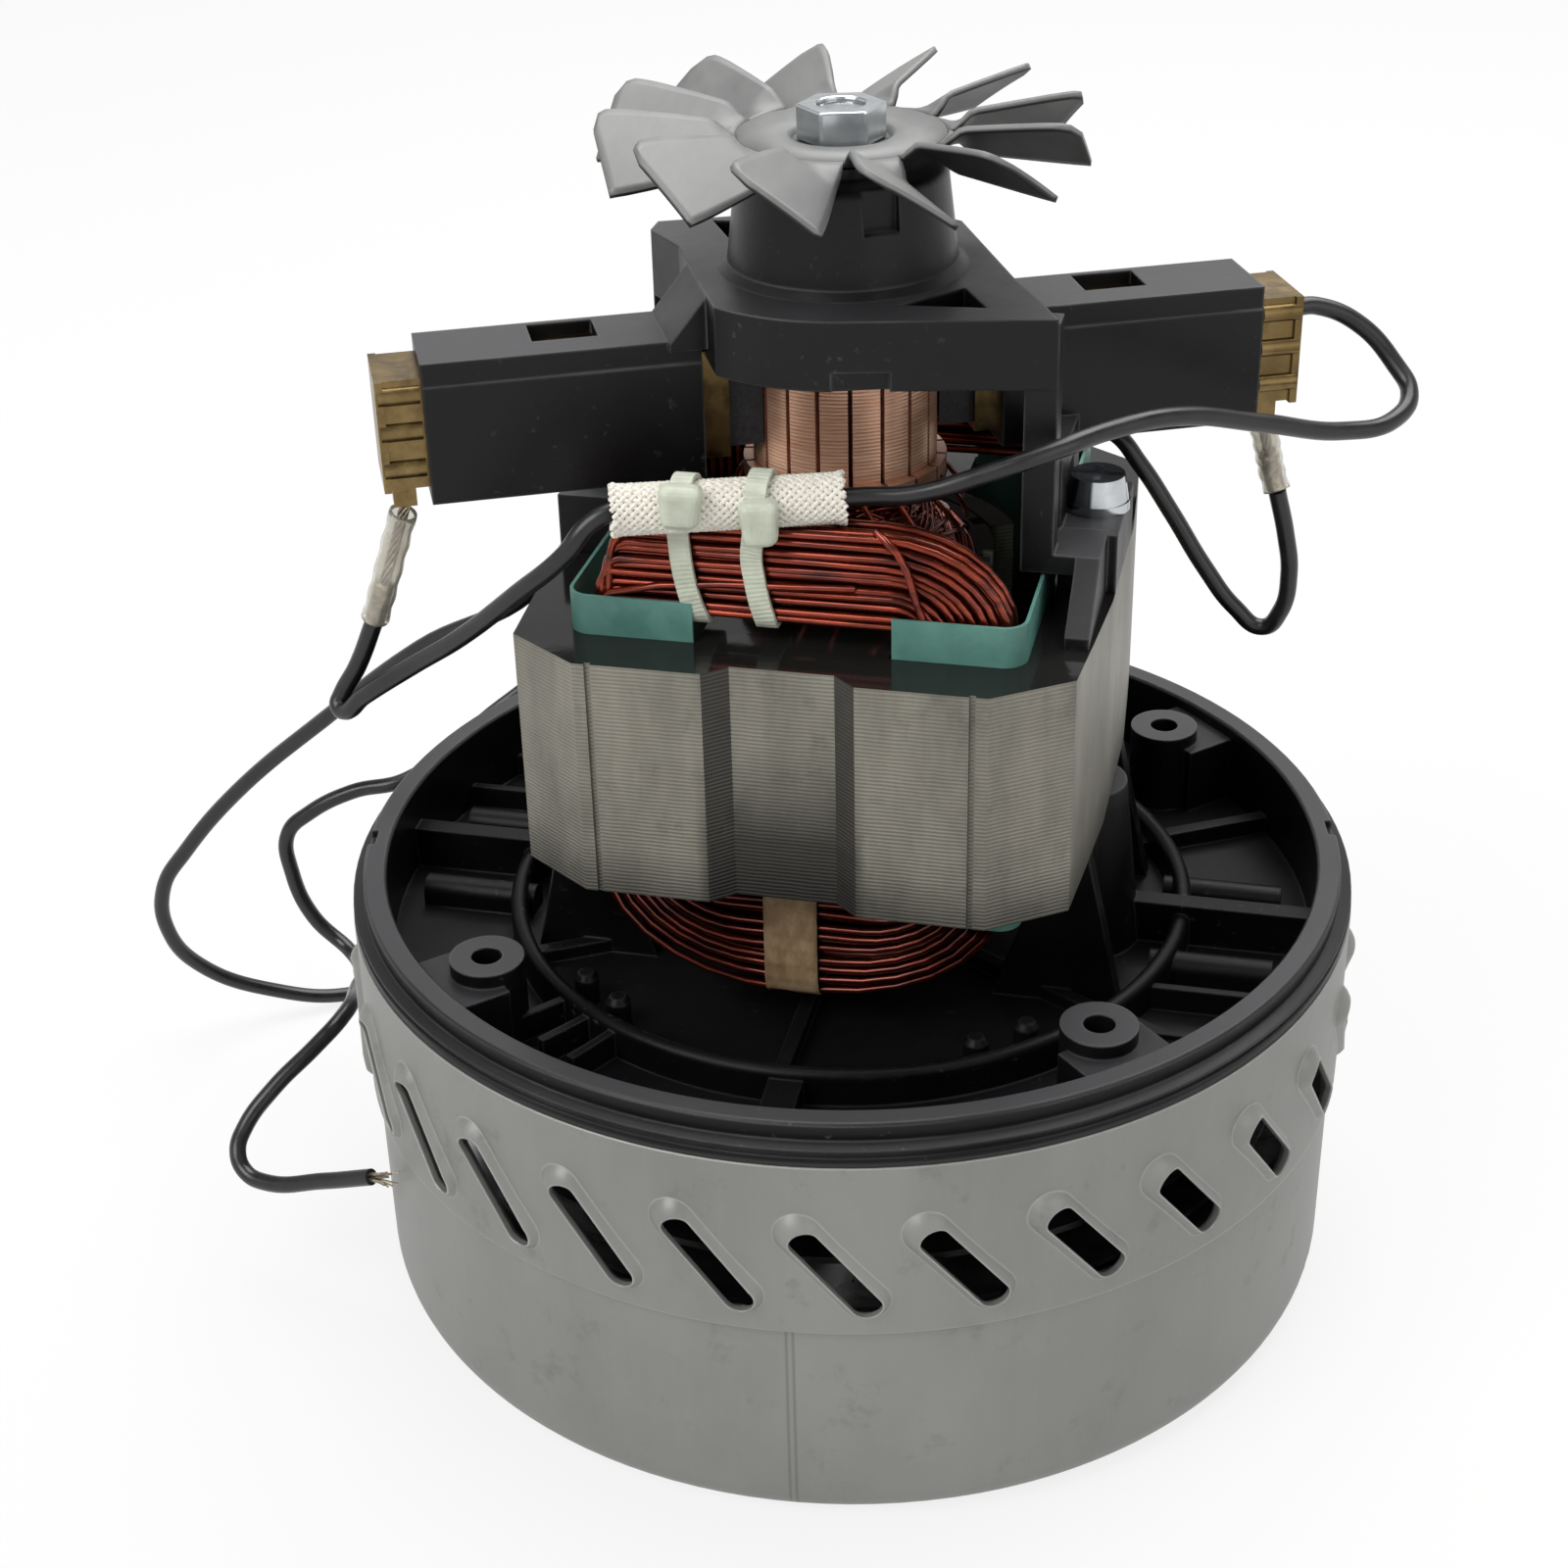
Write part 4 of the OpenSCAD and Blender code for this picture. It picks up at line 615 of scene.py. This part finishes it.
def fieldCoil(name, turned, node):
    dice = random.Random(coilSetup["seed"])
    paths = []
    for layer in range(coilSetup["layers"]):
        y = blendRange(coilSetup["depth"], layer / (coilSetup["layers"] - 1))
        nested = layer % 2  # every second layer lies in the grooves of the one before
        for i in range(coilSetup["turns"] - nested):
            paths.append(coilTurn((i + 0.5 * nested) / (coilSetup["turns"] - 1), y, dice))
    mesh = wireMesh(name, paths, coilSetup["wire"], closed=True)
    bm = bmesh.new()
    bm.from_mesh(mesh)
    bm.from_mesh(wireMesh(name + "Strays", coilSetup["strays"], coilSetup["wire"]))
    if turned:
        bmesh.ops.rotate(bm, verts=bm.verts, matrix=halfTurn)
    bm.to_mesh(mesh)
    bm.free()
    showPiece(name, mesh, enamelledCopper, [node])


fieldCoil("frontFieldWinding", False, "front_field_coil")
fieldCoil("rearFieldWinding", True, "rear_field_coil")
print("field coils wound")

# armature: strands from slot to slot over both ends of the core
armatureSetup = {
    "slots": 11, "span": 5, "strands": 9, "wire": 0.75, "seed": 5, "points": 19,
    "ends": [(110.9, 1, 9.6), (77.5, -1, 10.2)],  # core face, direction, rise
    "slotRadius": (13.6, 17.6), "waist": (7.2, 12.6),
    "hooks": 18, "hookRadius": 13.2, "hookHeight": 122.9, "hookSpread": 3.2, "hookDrop": 7.5,
}


def armatureStrands():
    setup = armatureSetup
    dice = random.Random(setup["seed"])
    sweep = math.tau * setup["span"] / setup["slots"]
    paths = []
    for face, way, rise in setup["ends"]:
        for slot in range(setup["slots"]):
            begin = math.tau * slot / setup["slots"]
            for strand in range(setup["strands"]):
                share = strand / (setup["strands"] - 1)
                outer = blendRange(setup["slotRadius"], share) + dice.uniform(-0.3, 0.3)
                waist = blendRange(setup["waist"], share) + dice.uniform(-0.4, 0.4)
                height = rise * (0.95 - 0.45 * share) + dice.uniform(-0.4, 0.0)
                path = []
                for k in range(setup["points"]):
                    t = k / (setup["points"] - 1)
                    bow = math.sin(math.pi * t)
                    radius = outer - (outer - waist) * bow
                    angle = begin + sweep * t
                    path.append((*polar(radius, angle), face + way * (height * bow ** 0.7 - 0.6)))
                paths.append(path)
    for hook in range(setup["hooks"]):  # wire ends up to the commutator
        angle = math.tau * (hook + 0.5) / setup["hooks"]
        lean = dice.uniform(0.1, 0.35)
        path = []
        for k in range(7):
            t = k / 6
            r = setup["hookRadius"] + setup["hookSpread"] * math.sin(math.pi * 0.5 * t)
            path.append((*polar(r, angle + lean * t), setup["hookHeight"] - setup["hookDrop"] * t))
        paths.append(path)
    return wireMesh("armatureWinding", paths, setup["wire"])


showPiece("armatureStrands", armatureStrands(), enamelledCopper,
          ["armature_winding"], "rotor")
print("armature wound")


def pathFrames(points, across, closed):
    # a frame at each point: X across, Y outward, Z along
    frames = []
    count = len(points)
    for i in range(count):
        ahead = points[(i + 1) % count] if closed else points[min(i + 1, count - 1)]
        behind = points[i - 1] if closed else points[max(i - 1, 0)]
        along = (Vector(ahead) - Vector(behind)).normalized()
        side = (Vector(across) - along * along.dot(Vector(across))).normalized()
        out = along.cross(side)
        frames.append(Matrix.Translation(points[i]) @ Matrix((side, out, along)).transposed().to_4x4())
    return frames


def sweepSection(bm, section, frames, closed):
    # a small outline drawn in XY is carried from frame to frame
    outline = [bm.verts.new(frames[0] @ Vector((x, y, 0))) for x, y in section]
    edges = [bm.edges.new((outline[i - 1], outline[i])) for i in range(len(outline))]
    first = list(edges)
    for before, after in zip(frames[:-1], frames[1:]):
        made = bmesh.ops.extrude_edge_only(bm, edges=edges)["geom"]
        edges = [e for e in made if isinstance(e, bmesh.types.BMEdge)
                 and all(v in made for v in e.verts) and len(e.link_faces) == 1]
        verts = list({v for e in edges for v in e.verts})
        bmesh.ops.transform(bm, matrix=after @ before.inverted(), verts=verts)
    if closed:
        bmesh.ops.bridge_loops(bm, edges=first + edges)
    else:
        bmesh.ops.holes_fill(bm, edges=first + edges, sides=0)
    bmesh.ops.recalc_face_normals(bm, faces=bm.faces)


def vertsOf(geom):
    return [v for v in geom if isinstance(v, bmesh.types.BMVert)]


def finishMesh(bm, name, scale=mm):
    bmesh.ops.scale(bm, verts=bm.verts, vec=(scale, scale, scale))
    mesh = bpy.data.meshes.new(name)
    bm.to_mesh(mesh)
    bm.free()
    return mesh


def resample(points, step, closed):
    # even steps along a smooth line through the points
    count = len(points)
    dense = []
    for i in range(count if closed else count - 1):
        near = [i + k for k in (-1, 0, 1, 2)]
        p0, p1, p2, p3 = (Vector(points[n % count if closed else min(max(n, 0), count - 1)]) for n in near)
        for k in range(12):
            t = k / 12
            dense.append(0.5 * (2 * p1 + (p2 - p0) * t + (2 * p0 - 5 * p1 + 4 * p2 - p3) * t ** 2
                                + (3 * p1 - p0 - 3 * p2 + p3) * t ** 3))
    dense.append(Vector(points[0 if closed else -1]))
    out, carried = [dense[0]], 0.0
    for a, b in zip(dense[:-1], dense[1:]):
        length = (b - a).length
        while length > 0 and carried + length >= step:
            a = a.lerp(b, (step - carried) / length)
            out.append(a.copy())
            length, carried = (b - a).length, 0.0
        carried += length
    if closed and (out[-1] - out[0]).length < step * 0.6:
        out.pop()
    return [tuple(p) for p in out]


# braided sleeve over the cut-out
braidSetup = {"yarns": 18, "yarn": 0.66, "pitch": 20.0, "middleRadius": 2.85, "weave": 0.13, "step": 0.2,
              "seed": 3, "core": 2.7, "bore": 2.45, "inset": 0.2, "uneven": 0.5, "flare": 0.22,
              "flareFrom": 0.8}


def braidedSleeve():
    setup = braidSetup
    dice = random.Random(setup["seed"])
    half = sleeveSetup["length"] / 2
    paths = []
    for way in (1, -1):
        for yarn in range(setup["yarns"]):
            ends = (-half - dice.uniform(0.0, setup["uneven"]), half + dice.uniform(0.0, setup["uneven"]))
            steps = int((ends[1] - ends[0]) / setup["step"])
            path = []
            for k in range(steps + 1):
                z = ends[0] + (ends[1] - ends[0]) * k / steps
                crossing = 2 * setup["yarns"] * z / setup["pitch"]
                flare = max(0.0, abs(z) - half + setup["flareFrom"]) * setup["flare"]
                radius = setup["middleRadius"] + way * setup["weave"] * math.cos(math.pi * crossing) + flare
                angle = math.tau * (yarn / setup["yarns"] + way * z / setup["pitch"])
                path.append((z, *polar(radius, angle)))
            paths.append(path)
    mesh = wireMesh("braidedSleeve", paths, setup["yarn"])
    bm = bmesh.new()
    bmesh.ops.create_circle(bm, segments=32, radius=setup["core"])
    bmesh.ops.rotate(bm, verts=bm.verts, matrix=Matrix.Rotation(math.pi / 2, 3, "Y"))
    bmesh.ops.translate(bm, verts=bm.verts, vec=(-half + setup["inset"], 0, 0))
    tube = bmesh.ops.extrude_edge_only(bm, edges=bm.edges)["geom"]
    bmesh.ops.translate(bm, verts=vertsOf(tube), vec=(2 * half - 2 * setup["inset"], 0, 0))
    bmesh.ops.recalc_face_normals(bm, faces=bm.faces)
    bmesh.ops.solidify(bm, geom=bm.faces[:], thickness=setup["core"] - setup["bore"])
    bmesh.ops.scale(bm, verts=bm.verts, vec=(mm, mm, mm))
    bm.from_mesh(mesh)
    place = Matrix.Translation(Vector(sleeveSetup["middle"]) * mm) @ Matrix.Rotation(sleeveTurn, 4, "Z")
    bmesh.ops.transform(bm, matrix=place, verts=bm.verts)
    bm.to_mesh(mesh)
    bm.free()
    return mesh


showPiece("braidedSleeve", braidedSleeve(), braidedGlass, ["protector_sleeve"])
print("sleeve braided")

# nylon ties: a toothed strap round sleeve and coil, and a head
tieSetup = {
    "strap": (2.7, 0.75), "tooth": 0.3, "toothDepth": 0.15, "headBevel": 1.25, "taper": (0.8, 0.85, 1),
    "back": -24.6, "overSleeve": 0.65, "overAngles": (-38, -5, 30, 62, 95, 128, 160, 192),
    "left": {"front": [(-14.2, -33.3, 125.6), (-13.9, -33.2, 121.4), (-13.3, -33.2, 118.0),
                       (-12.7, -33.1, 115.8)],
             "under": (-12.2, 113.2), "sleeveX": -13.0,
             "head": {"middle": (-12.7, -37.0, 130.9), "size": (5.8, 3.5, 5.6), "lean": 4.0}},
    "right": {"front": [(-4.9, -33.3, 123.4), (-4.6, -33.2, 120.2), (-4.1, -33.2, 117.4),
                        (-3.7, -33.1, 115.7)],
              "under": (-3.4, 113.2), "sleeveX": -4.0,
              "head": {"middle": (-3.3, -35.0, 128.6), "size": (5.2, 3.6, 6.0), "lean": -4.0}},
}


def tieStrap(bm, facts):
    x, z = facts["under"]
    back = tieSetup["back"]
    middle = inSleeve((facts["sleeveX"] - sleeveSetup["middle"][0]) / math.cos(sleeveTurn))
    r = sleeveSetup["radius"] + tieSetup["overSleeve"]
    turns = [math.radians(a) for a in tieSetup["overAngles"]]
    over = [(facts["sleeveX"], middle[1] + r * math.cos(a), middle[2] + r * math.sin(a)) for a in turns]
    points = facts["front"] + [(x, -32.7, z + 1.0), (x, -31.6, z + 0.05), (x, -29, z), (x, -25.6, z + 0.05),
                               (x, back, z + 1.0), (x, back, 118), (x, back, 123.6)] + over
    frames = pathFrames(resample(points, tieSetup["tooth"], True), (1, 0, 0), True)
    wide, thick = tieSetup["strap"]
    root = Matrix.Diagonal((1, 1 - tieSetup["toothDepth"] / thick, 1, 1))
    frames[1::2] = [place @ root for place in frames[1::2]]  # every second step is a tooth's root
    section = [(-wide / 2, -thick / 2), (wide / 2, -thick / 2), (wide / 2, thick / 2), (-wide / 2, thick / 2)]
    sweepSection(bm, section, frames, True)


def tieHead(bm, facts):
    sx, sy, sz = facts["size"]
    made = bmesh.ops.create_cube(bm, size=1.0)["verts"]
    bmesh.ops.scale(bm, verts=made, vec=(sx, sy, sz))
    low = [v for v in made if v.co.z < 0]
    bmesh.ops.scale(bm, verts=low, vec=tieSetup["taper"])  # towards the strap
    edges = list({e for v in made for e in v.link_edges})
    bmesh.ops.bevel(bm, geom=edges, offset=tieSetup["headBevel"], offset_type="OFFSET", affect="EDGES",
                    segments=4, profile=0.5, material=-1, clamp_overlap=True)
    turned = Matrix.Rotation(math.radians(facts["lean"]), 4, "Y") @ Matrix.Rotation(sleeveTurn * 0.6, 4, "Z")
    bmesh.ops.transform(bm, matrix=Matrix.Translation(facts["middle"]) @ turned, verts=bm.verts)


tieMesh = bmesh.new()
for side in ("left", "right"):
    for build, facts in ((tieHead, tieSetup[side]["head"]), (tieStrap, tieSetup[side])):
        part = bmesh.new()
        build(part, facts)
        carried = finishMesh(part, "tiePart", 1.0)
        tieMesh.from_mesh(carried)
        bpy.data.meshes.remove(carried)
showPiece("nylonTies", finishMesh(tieMesh, "nylonTies"), naturalNylon, ["cable_ties"],
          smooth=False)
print("ties closed")

# paper tape round the lower end turns
tapeSetup = {"middle": -1.2, "wide": 7.3, "thick": 0.28, "front": -32.75, "back": -25.1, "low": 57.6,
             "high": 76.9, "step": 0.8, "rows": 8, "crease": 0.10, "uneven": 0.02, "seed": 9}


def coilTape(bm):
    x, front, back, low, high = (tapeSetup[key] for key in ("middle", "front", "back", "low", "high"))
    outline = [(front, 74.0), (front - 0.15, 69.0), (front - 0.2, 64.0), (front, 60.0),
               (front + 1.2, low + 0.3), (-29.0, low), (back - 1.2, low + 0.3), (back, 60.0), (back, 68.0),
               (back, 74.0), (back - 1.2, high), (-29.0, high + 0.1), (front + 1.0, high - 0.2)]
    path = [(x, y, z) for _, y, z in resample([(0, y, z) for y, z in outline], tapeSetup["step"], True)]
    wide, thick, rows = tapeSetup["wide"] / 2, tapeSetup["thick"] / 2, tapeSetup["rows"]
    section = [(-wide + 2 * wide * k / rows, -thick) for k in range(rows + 1)]
    section += [(wide - 2 * wide * k / rows, thick) for k in range(rows + 1)]
    sweepSection(bm, section, pathFrames(path, (1, 0, 0), True), True)
    dice = random.Random(tapeSetup["seed"])
    for vert in bm.verts:  # creases where it pulls over the wires
        wave = math.sin(vert.co.z * 5.2 + 0.7 * math.sin(vert.co.x * 1.3))
        vert.co.y += tapeSetup["crease"] * wave + dice.uniform(-tapeSetup["uneven"], tapeSetup["uneven"])


tapeMesh = bmesh.new()
coilTape(tapeMesh)
spare = bmesh.ops.duplicate(tapeMesh, geom=tapeMesh.verts[:] + tapeMesh.edges[:] + tapeMesh.faces[:])["geom"]
bmesh.ops.rotate(tapeMesh, verts=vertsOf(spare), matrix=halfTurn)
showPiece("endTurnTapes", finishMesh(tapeMesh, "endTurnTapes"), paperTape, ["coil_tapes"])
print("tapes wrapped")

# cooling fan: a disc sunk at the nut, with pitched, cambered blades
fanSetup = {
    "thick": 0.8, "blades": 12, "first": -92.0, "seat": 166.05, "level": 166.95, "disc": 13.4,
    "tip": 31.0, "pitch": 34.0, "bend": 0.2, "camber": 0.12, "rows": 18, "columns": 12,
    "outline": [(0.0, -3.4, 3.4), (0.1, -3.9, 3.75), (0.45, -5.6, 4.8), (0.72, -6.8, 5.6),
                (0.88, -7.3, 6.0), (0.95, -6.6, 6.1), (1.0, -4.2, 6.2)],
}


def edgesAt(share):
    rows = fanSetup["outline"]
    for (s0, a0, b0), (s1, a1, b1) in zip(rows[:-1], rows[1:]):
        if share <= s1:
            k = (share - s0) / (s1 - s0)
            return a0 + (a1 - a0) * k, b0 + (b1 - b0) * k
    return rows[-1][1:]


def coolingFan():
    bm = bmesh.new()
    seat, level, disc = (fanSetup[key] for key in ("seat", "level", "disc"))
    profile = [(3.05, seat), (6.35, seat), (6.6, seat + 0.3), (6.85, level - 0.15), (7.15, level),
               (disc, level)]
    verts = [bm.verts.new((r, 0, z)) for r, z in profile]
    edges = [bm.edges.new(pair) for pair in zip(verts[:-1], verts[1:])]
    bmesh.ops.spin(bm, geom=verts + edges, cent=(0, 0, 0), axis=(0, 0, 1), angle=math.tau, steps=96,
                   use_merge=True)
    for blade in range(fanSetup["blades"]):
        grid = bmesh.ops.create_grid(bm, x_segments=fanSetup["rows"], y_segments=fanSetup["columns"],
                                     size=0.5)["verts"]
        for vert in grid:
            share, across = vert.co.x + 0.5, vert.co.y + 0.5
            chord = blendRange(edgesAt(share), across)
            radius = blendRange((disc, fanSetup["tip"]), share)
            bent = min(1.0, share / fanSetup["bend"])
            twist = math.radians(fanSetup["pitch"]) * bent * bent * (3 - 2 * bent)
            bow = fanSetup["camber"] * share * (1 - (2 * across - 1) ** 2)
            onDisc = math.sqrt(radius ** 2 - chord ** 2)  # the root follows the disc's edge
            vert.co = (blendRange((onDisc, radius), share), chord * math.cos(twist) + bow * math.sin(twist),
                       level - chord * math.sin(twist) + bow * math.cos(twist))
        spot = math.radians(fanSetup["first"] + 360 / fanSetup["blades"] * blade)
        bmesh.ops.rotate(bm, verts=grid, matrix=Matrix.Rotation(spot, 3, "Z"))
    bmesh.ops.recalc_face_normals(bm, faces=bm.faces)
    return finishMesh(bm, "coolingFan")


fanPiece = showPiece("coolingFan", coolingFan(), fanSheet, ["cooling_fan"], "rotor")
sheet = fanPiece.modifiers.new("sheet", "SOLIDIFY")
sheet.thickness = fanSetup["thick"] * mm
sheet.offset = 0.0
print("fan pressed")

# fan nut: the model's own, with its corners eased and one of them turned forward
nutSetup = {"turn": -18.0, "ease": 0.3}
bm = bmesh.new()
bm.from_mesh(nodes["fan_nut"].data)
bmesh.ops.remove_doubles(bm, verts=bm.verts, dist=1e-6)
bmesh.ops.rotate(bm, verts=bm.verts, matrix=Matrix.Rotation(math.radians(nutSetup["turn"]), 3, "Z"))
nutPiece = showPiece("fanNut", finishMesh(bm, "fanNut", 1.0), zincSteel, ["fan_nut"], "rotor",
                     smooth=False)
eased = nutPiece.modifiers.new("eased", "BEVEL")
eased.width = nutSetup["ease"] * mm
eased.segments = 2
eased.limit_method = "ANGLE"
print("nut turned")

# brush pigtails: stranded wire and crimp barrel inside a clear sleeve
pigtail = {"strand": 0.42, "strands": 7, "lay": 9.0, "radius": 0.55, "barrel": 1.3, "barrelLength": 6.0,
                "sleeve": 1.85, "bore": 1.5, "bow": 0.6, "points": 28, "pinch": 0.78, "ripple": (0.05, 1.1)}


def pigtailPath(start, end):
    a, b = Vector(start), Vector(end)
    side = (b - a).cross(Vector((0, 0, 1))).normalized()
    shares = [k / (pigtail["points"] - 1) for k in range(pigtail["points"])]
    return [tuple(a.lerp(b, t) + side * pigtail["bow"] * math.sin(math.tau * t)) for t in shares]


def ringSection(radius, sides=20):
    return [polar(radius, math.tau * k / sides) for k in range(sides)]


for side, tab, crimp in (("left", leftTab, leftCrimp), ("right", rightTab, rightCrimp)):
    frames = pathFrames(pigtailPath(tab, crimp), (0.3, 1, 0.1), False)
    length = (Vector(crimp) - Vector(tab)).length
    wires = []
    for strand in range(pigtail["strands"]):
        wire = []
        for k, place in enumerate(frames):
            wound = length * k / (pigtail["points"] - 1) / pigtail["lay"]
            a = math.tau * (strand / (pigtail["strands"] - 1) + wound)
            r = pigtail["radius"] if strand else 0.0
            wire.append(tuple(place @ Vector((*polar(r, a), 0))))
        wires.append(wire)
    mesh = wireMesh(side + "Pigtail", wires, pigtail["strand"])
    bm = bmesh.new()
    startAt = int(pigtail["points"] * (1 - pigtail["barrelLength"] / length))
    barrel = frames[startAt:]
    for k in (2, 3):  # the crimp's dents
        barrel[k] = barrel[k] @ Matrix.Diagonal((pigtail["pinch"], 1, 1, 1))
    sweepSection(bm, ringSection(pigtail["barrel"]), barrel, False)
    bmesh.ops.scale(bm, verts=bm.verts, vec=(mm, mm, mm))
    bm.from_mesh(mesh)
    bm.to_mesh(mesh)
    bm.free()
    showPiece(side + "Pigtail", mesh, tinnedCopper,
              ["lead_crimps"] if side == "left" else [])
    bm = bmesh.new()
    rise, pace = pigtail["ripple"]
    swells = [1 + rise * math.sin(k * pace) for k in range(len(frames) - 2)]
    tube = [place @ Matrix.Diagonal((swell, swell, 1, 1)) for place, swell in zip(frames[2:], swells)]
    sweepSection(bm, ringSection(pigtail["sleeve"]), tube, False)
    caps = [f for f in bm.faces if len(f.verts) > 4]
    bmesh.ops.delete(bm, geom=caps, context="FACES_ONLY")
    bmesh.ops.solidify(bm, geom=bm.faces[:], thickness=pigtail["sleeve"] - pigtail["bore"])
    showPiece(side + "PigtailSleeve", finishMesh(bm, side + "PigtailSleeve"), clearSleeve,
              ["lead_sleeves"] if side == "left" else [])
print("pigtails made")

# brush springs: wound wire between each carbon and its tube's end
springSetup = {"radius": 2.9, "wire": 0.7, "turns": 8, "perTurn": 20, "reach": (38.4, 60.1), "level": 134.65,
               "travel": 6.0}


def springWire():
    count = springSetup["turns"] * springSetup["perTurn"]
    path = []
    for k in range(count + 1):
        a = math.tau * k / springSetup["perTurn"]
        path.append((blendRange(springSetup["reach"], k / count), springSetup["radius"] * math.cos(a),
                     springSetup["level"] + springSetup["radius"] * math.sin(a)))
    return path


for side, turn in (("left", armTurn + math.pi), ("right", armTurn)):
    mesh = wireMesh(side + "BrushSpring", [springWire()], springSetup["wire"])
    mesh.transform(Matrix.Rotation(turn, 4, "Z"))
    piece = showPiece(side + "BrushSpring", mesh, springSteel, [side + "_brush_spring"])
    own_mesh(piece)
print("brush springs wound")

# bare strands at the supply leads' ends, splayed a little
fraySetup = {"wires": 11, "wire": 0.3, "length": 4.6, "seed": 21, "splay": 0.38, "bundle": 0.55, "tuck": 0.2}


def frayedEnd(points, dice, bend):
    tip, before = Vector(points[-1]), Vector(points[-2])
    along = ((tip - before) + Vector(bend)).normalized()
    side = along.orthogonal().normalized()
    other = along.cross(side)
    wires = []
    for wire in range(fraySetup["wires"]):
        a = math.tau * wire / fraySetup["wires"]
        out = side * math.cos(a) + other * math.sin(a)
        base = tip + out * fraySetup["bundle"] * (1.0 if wire % 3 else 0.3) - along * fraySetup["tuck"]
        reach = fraySetup["length"] * dice.uniform(0.7, 1.0)
        lean = out * fraySetup["splay"] * dice.uniform(0.1, 1.0) + side * dice.uniform(-0.1, 0.1)
        wires.append([tuple(base + along * reach * k / 5 + lean * reach * (k / 5) ** 2) for k in range(6)])
    return wires


frayDice = random.Random(fraySetup["seed"])
frayed = frayedEnd(leads["firstSupplyLead"]["points"], frayDice, (0, 0, 2.0))
frayed += frayedEnd(leads["secondSupplyLead"]["points"], frayDice, (0, -1, -1))
showPiece("strippedStrands", wireMesh("strippedStrands", frayed, fraySetup["wire"]), tinnedCopper,
          ["lead_strands"])
print("lead ends stripped")

# soft studio: pale floor, wide lamps, grey sky overhead
studio = {
    "floor": "#cfcfce", "floorWhite": 0.82, "floorHalf": 4.0, "sky": 0.3,
    "lamps": [
        {"name": "keyLamp", "place": (-0.55, -0.75, 0.95), "aim": (0, 0, 0.08), "size": 0.8, "power": 11.0},
        {"name": "fillLamp", "place": (0.85, -0.55, 0.55), "aim": (0, 0, 0.08), "size": 0.9, "power": 2.4},
        {"name": "topLamp", "place": (0.1, 0.45, 1.1), "aim": (0, 0, 0.1), "size": 1.1, "power": 18.0},
    ],
}
floorMesh = bmesh.new()
bmesh.ops.create_grid(floorMesh, x_segments=1, y_segments=1, size=studio["floorHalf"])
floor = addObject("studioFloor", finishMesh(floorMesh, "studioFloor", 1.0))
floorFinish = bpy.data.materials.new("paleFloor")
floorFinish.use_nodes = True
tree = floorFinish.node_tree
tree.nodes.clear()
rays = addNode(tree, "LightPath").outputs
seen = calc(tree, "MAXIMUM", rays["Is Camera Ray"], rays["Is Glossy Ray"])
seen = calc(tree, "MAXIMUM", seen, rays["Is Transmission Ray"])
share = times(tree, seen, studio["floorWhite"])
matt = addNode(tree, "BsdfDiffuse", {"Color": linear(studio["floor"])})
white = addNode(tree, "Emission", {"Color": (1, 1, 1, 1), "Strength": 1.0})
both = addNode(tree, "MixShader", {0: share, 1: matt.outputs[0], 2: white.outputs[0]})
addNode(tree, "OutputMaterial", {0: both.outputs[0]})
floor.data.materials.append(floorFinish)

world = bpy.data.worlds.new("studioWorld")
scene.world = world
world.use_nodes = True
tree = world.node_tree
tree.nodes.clear()
rays = addNode(tree, "LightPath").outputs
seen = calc(tree, "MAXIMUM", rays["Is Camera Ray"], rays["Is Transmission Ray"])
heading = splitXyz(tree, addNode(tree, "TexCoord").outputs["Generated"])
skyLevel = spread(tree, heading[2], 0.0, 0.7, 1.0, 0.25)
glossSky = mixed(tree, rays["Is Glossy Ray"], (studio["sky"],) * 3 + (1,), skyLevel)
skyTone = mixed(tree, seen, glossSky, (1, 1, 1, 1))
sky = addNode(tree, "Background", {"Color": skyTone, "Strength": 1.0})
addNode(tree, "OutputWorld", {0: sky.outputs[0]})

for lamp in studio["lamps"]:
    data = bpy.data.lights.new(lamp["name"], "AREA")
    data.size = lamp["size"]
    data.energy = lamp["power"]
    holder = addObject(lamp["name"], data)
    aim = Vector(lamp["aim"]) - Vector(lamp["place"])
    turned = aim.to_track_quat("-Z", "Y").to_matrix().to_4x4()
    holder.matrix_world = Matrix.Translation(lamp["place"]) @ turned
scene.view_settings.view_transform = "Standard"
print("studio lit")
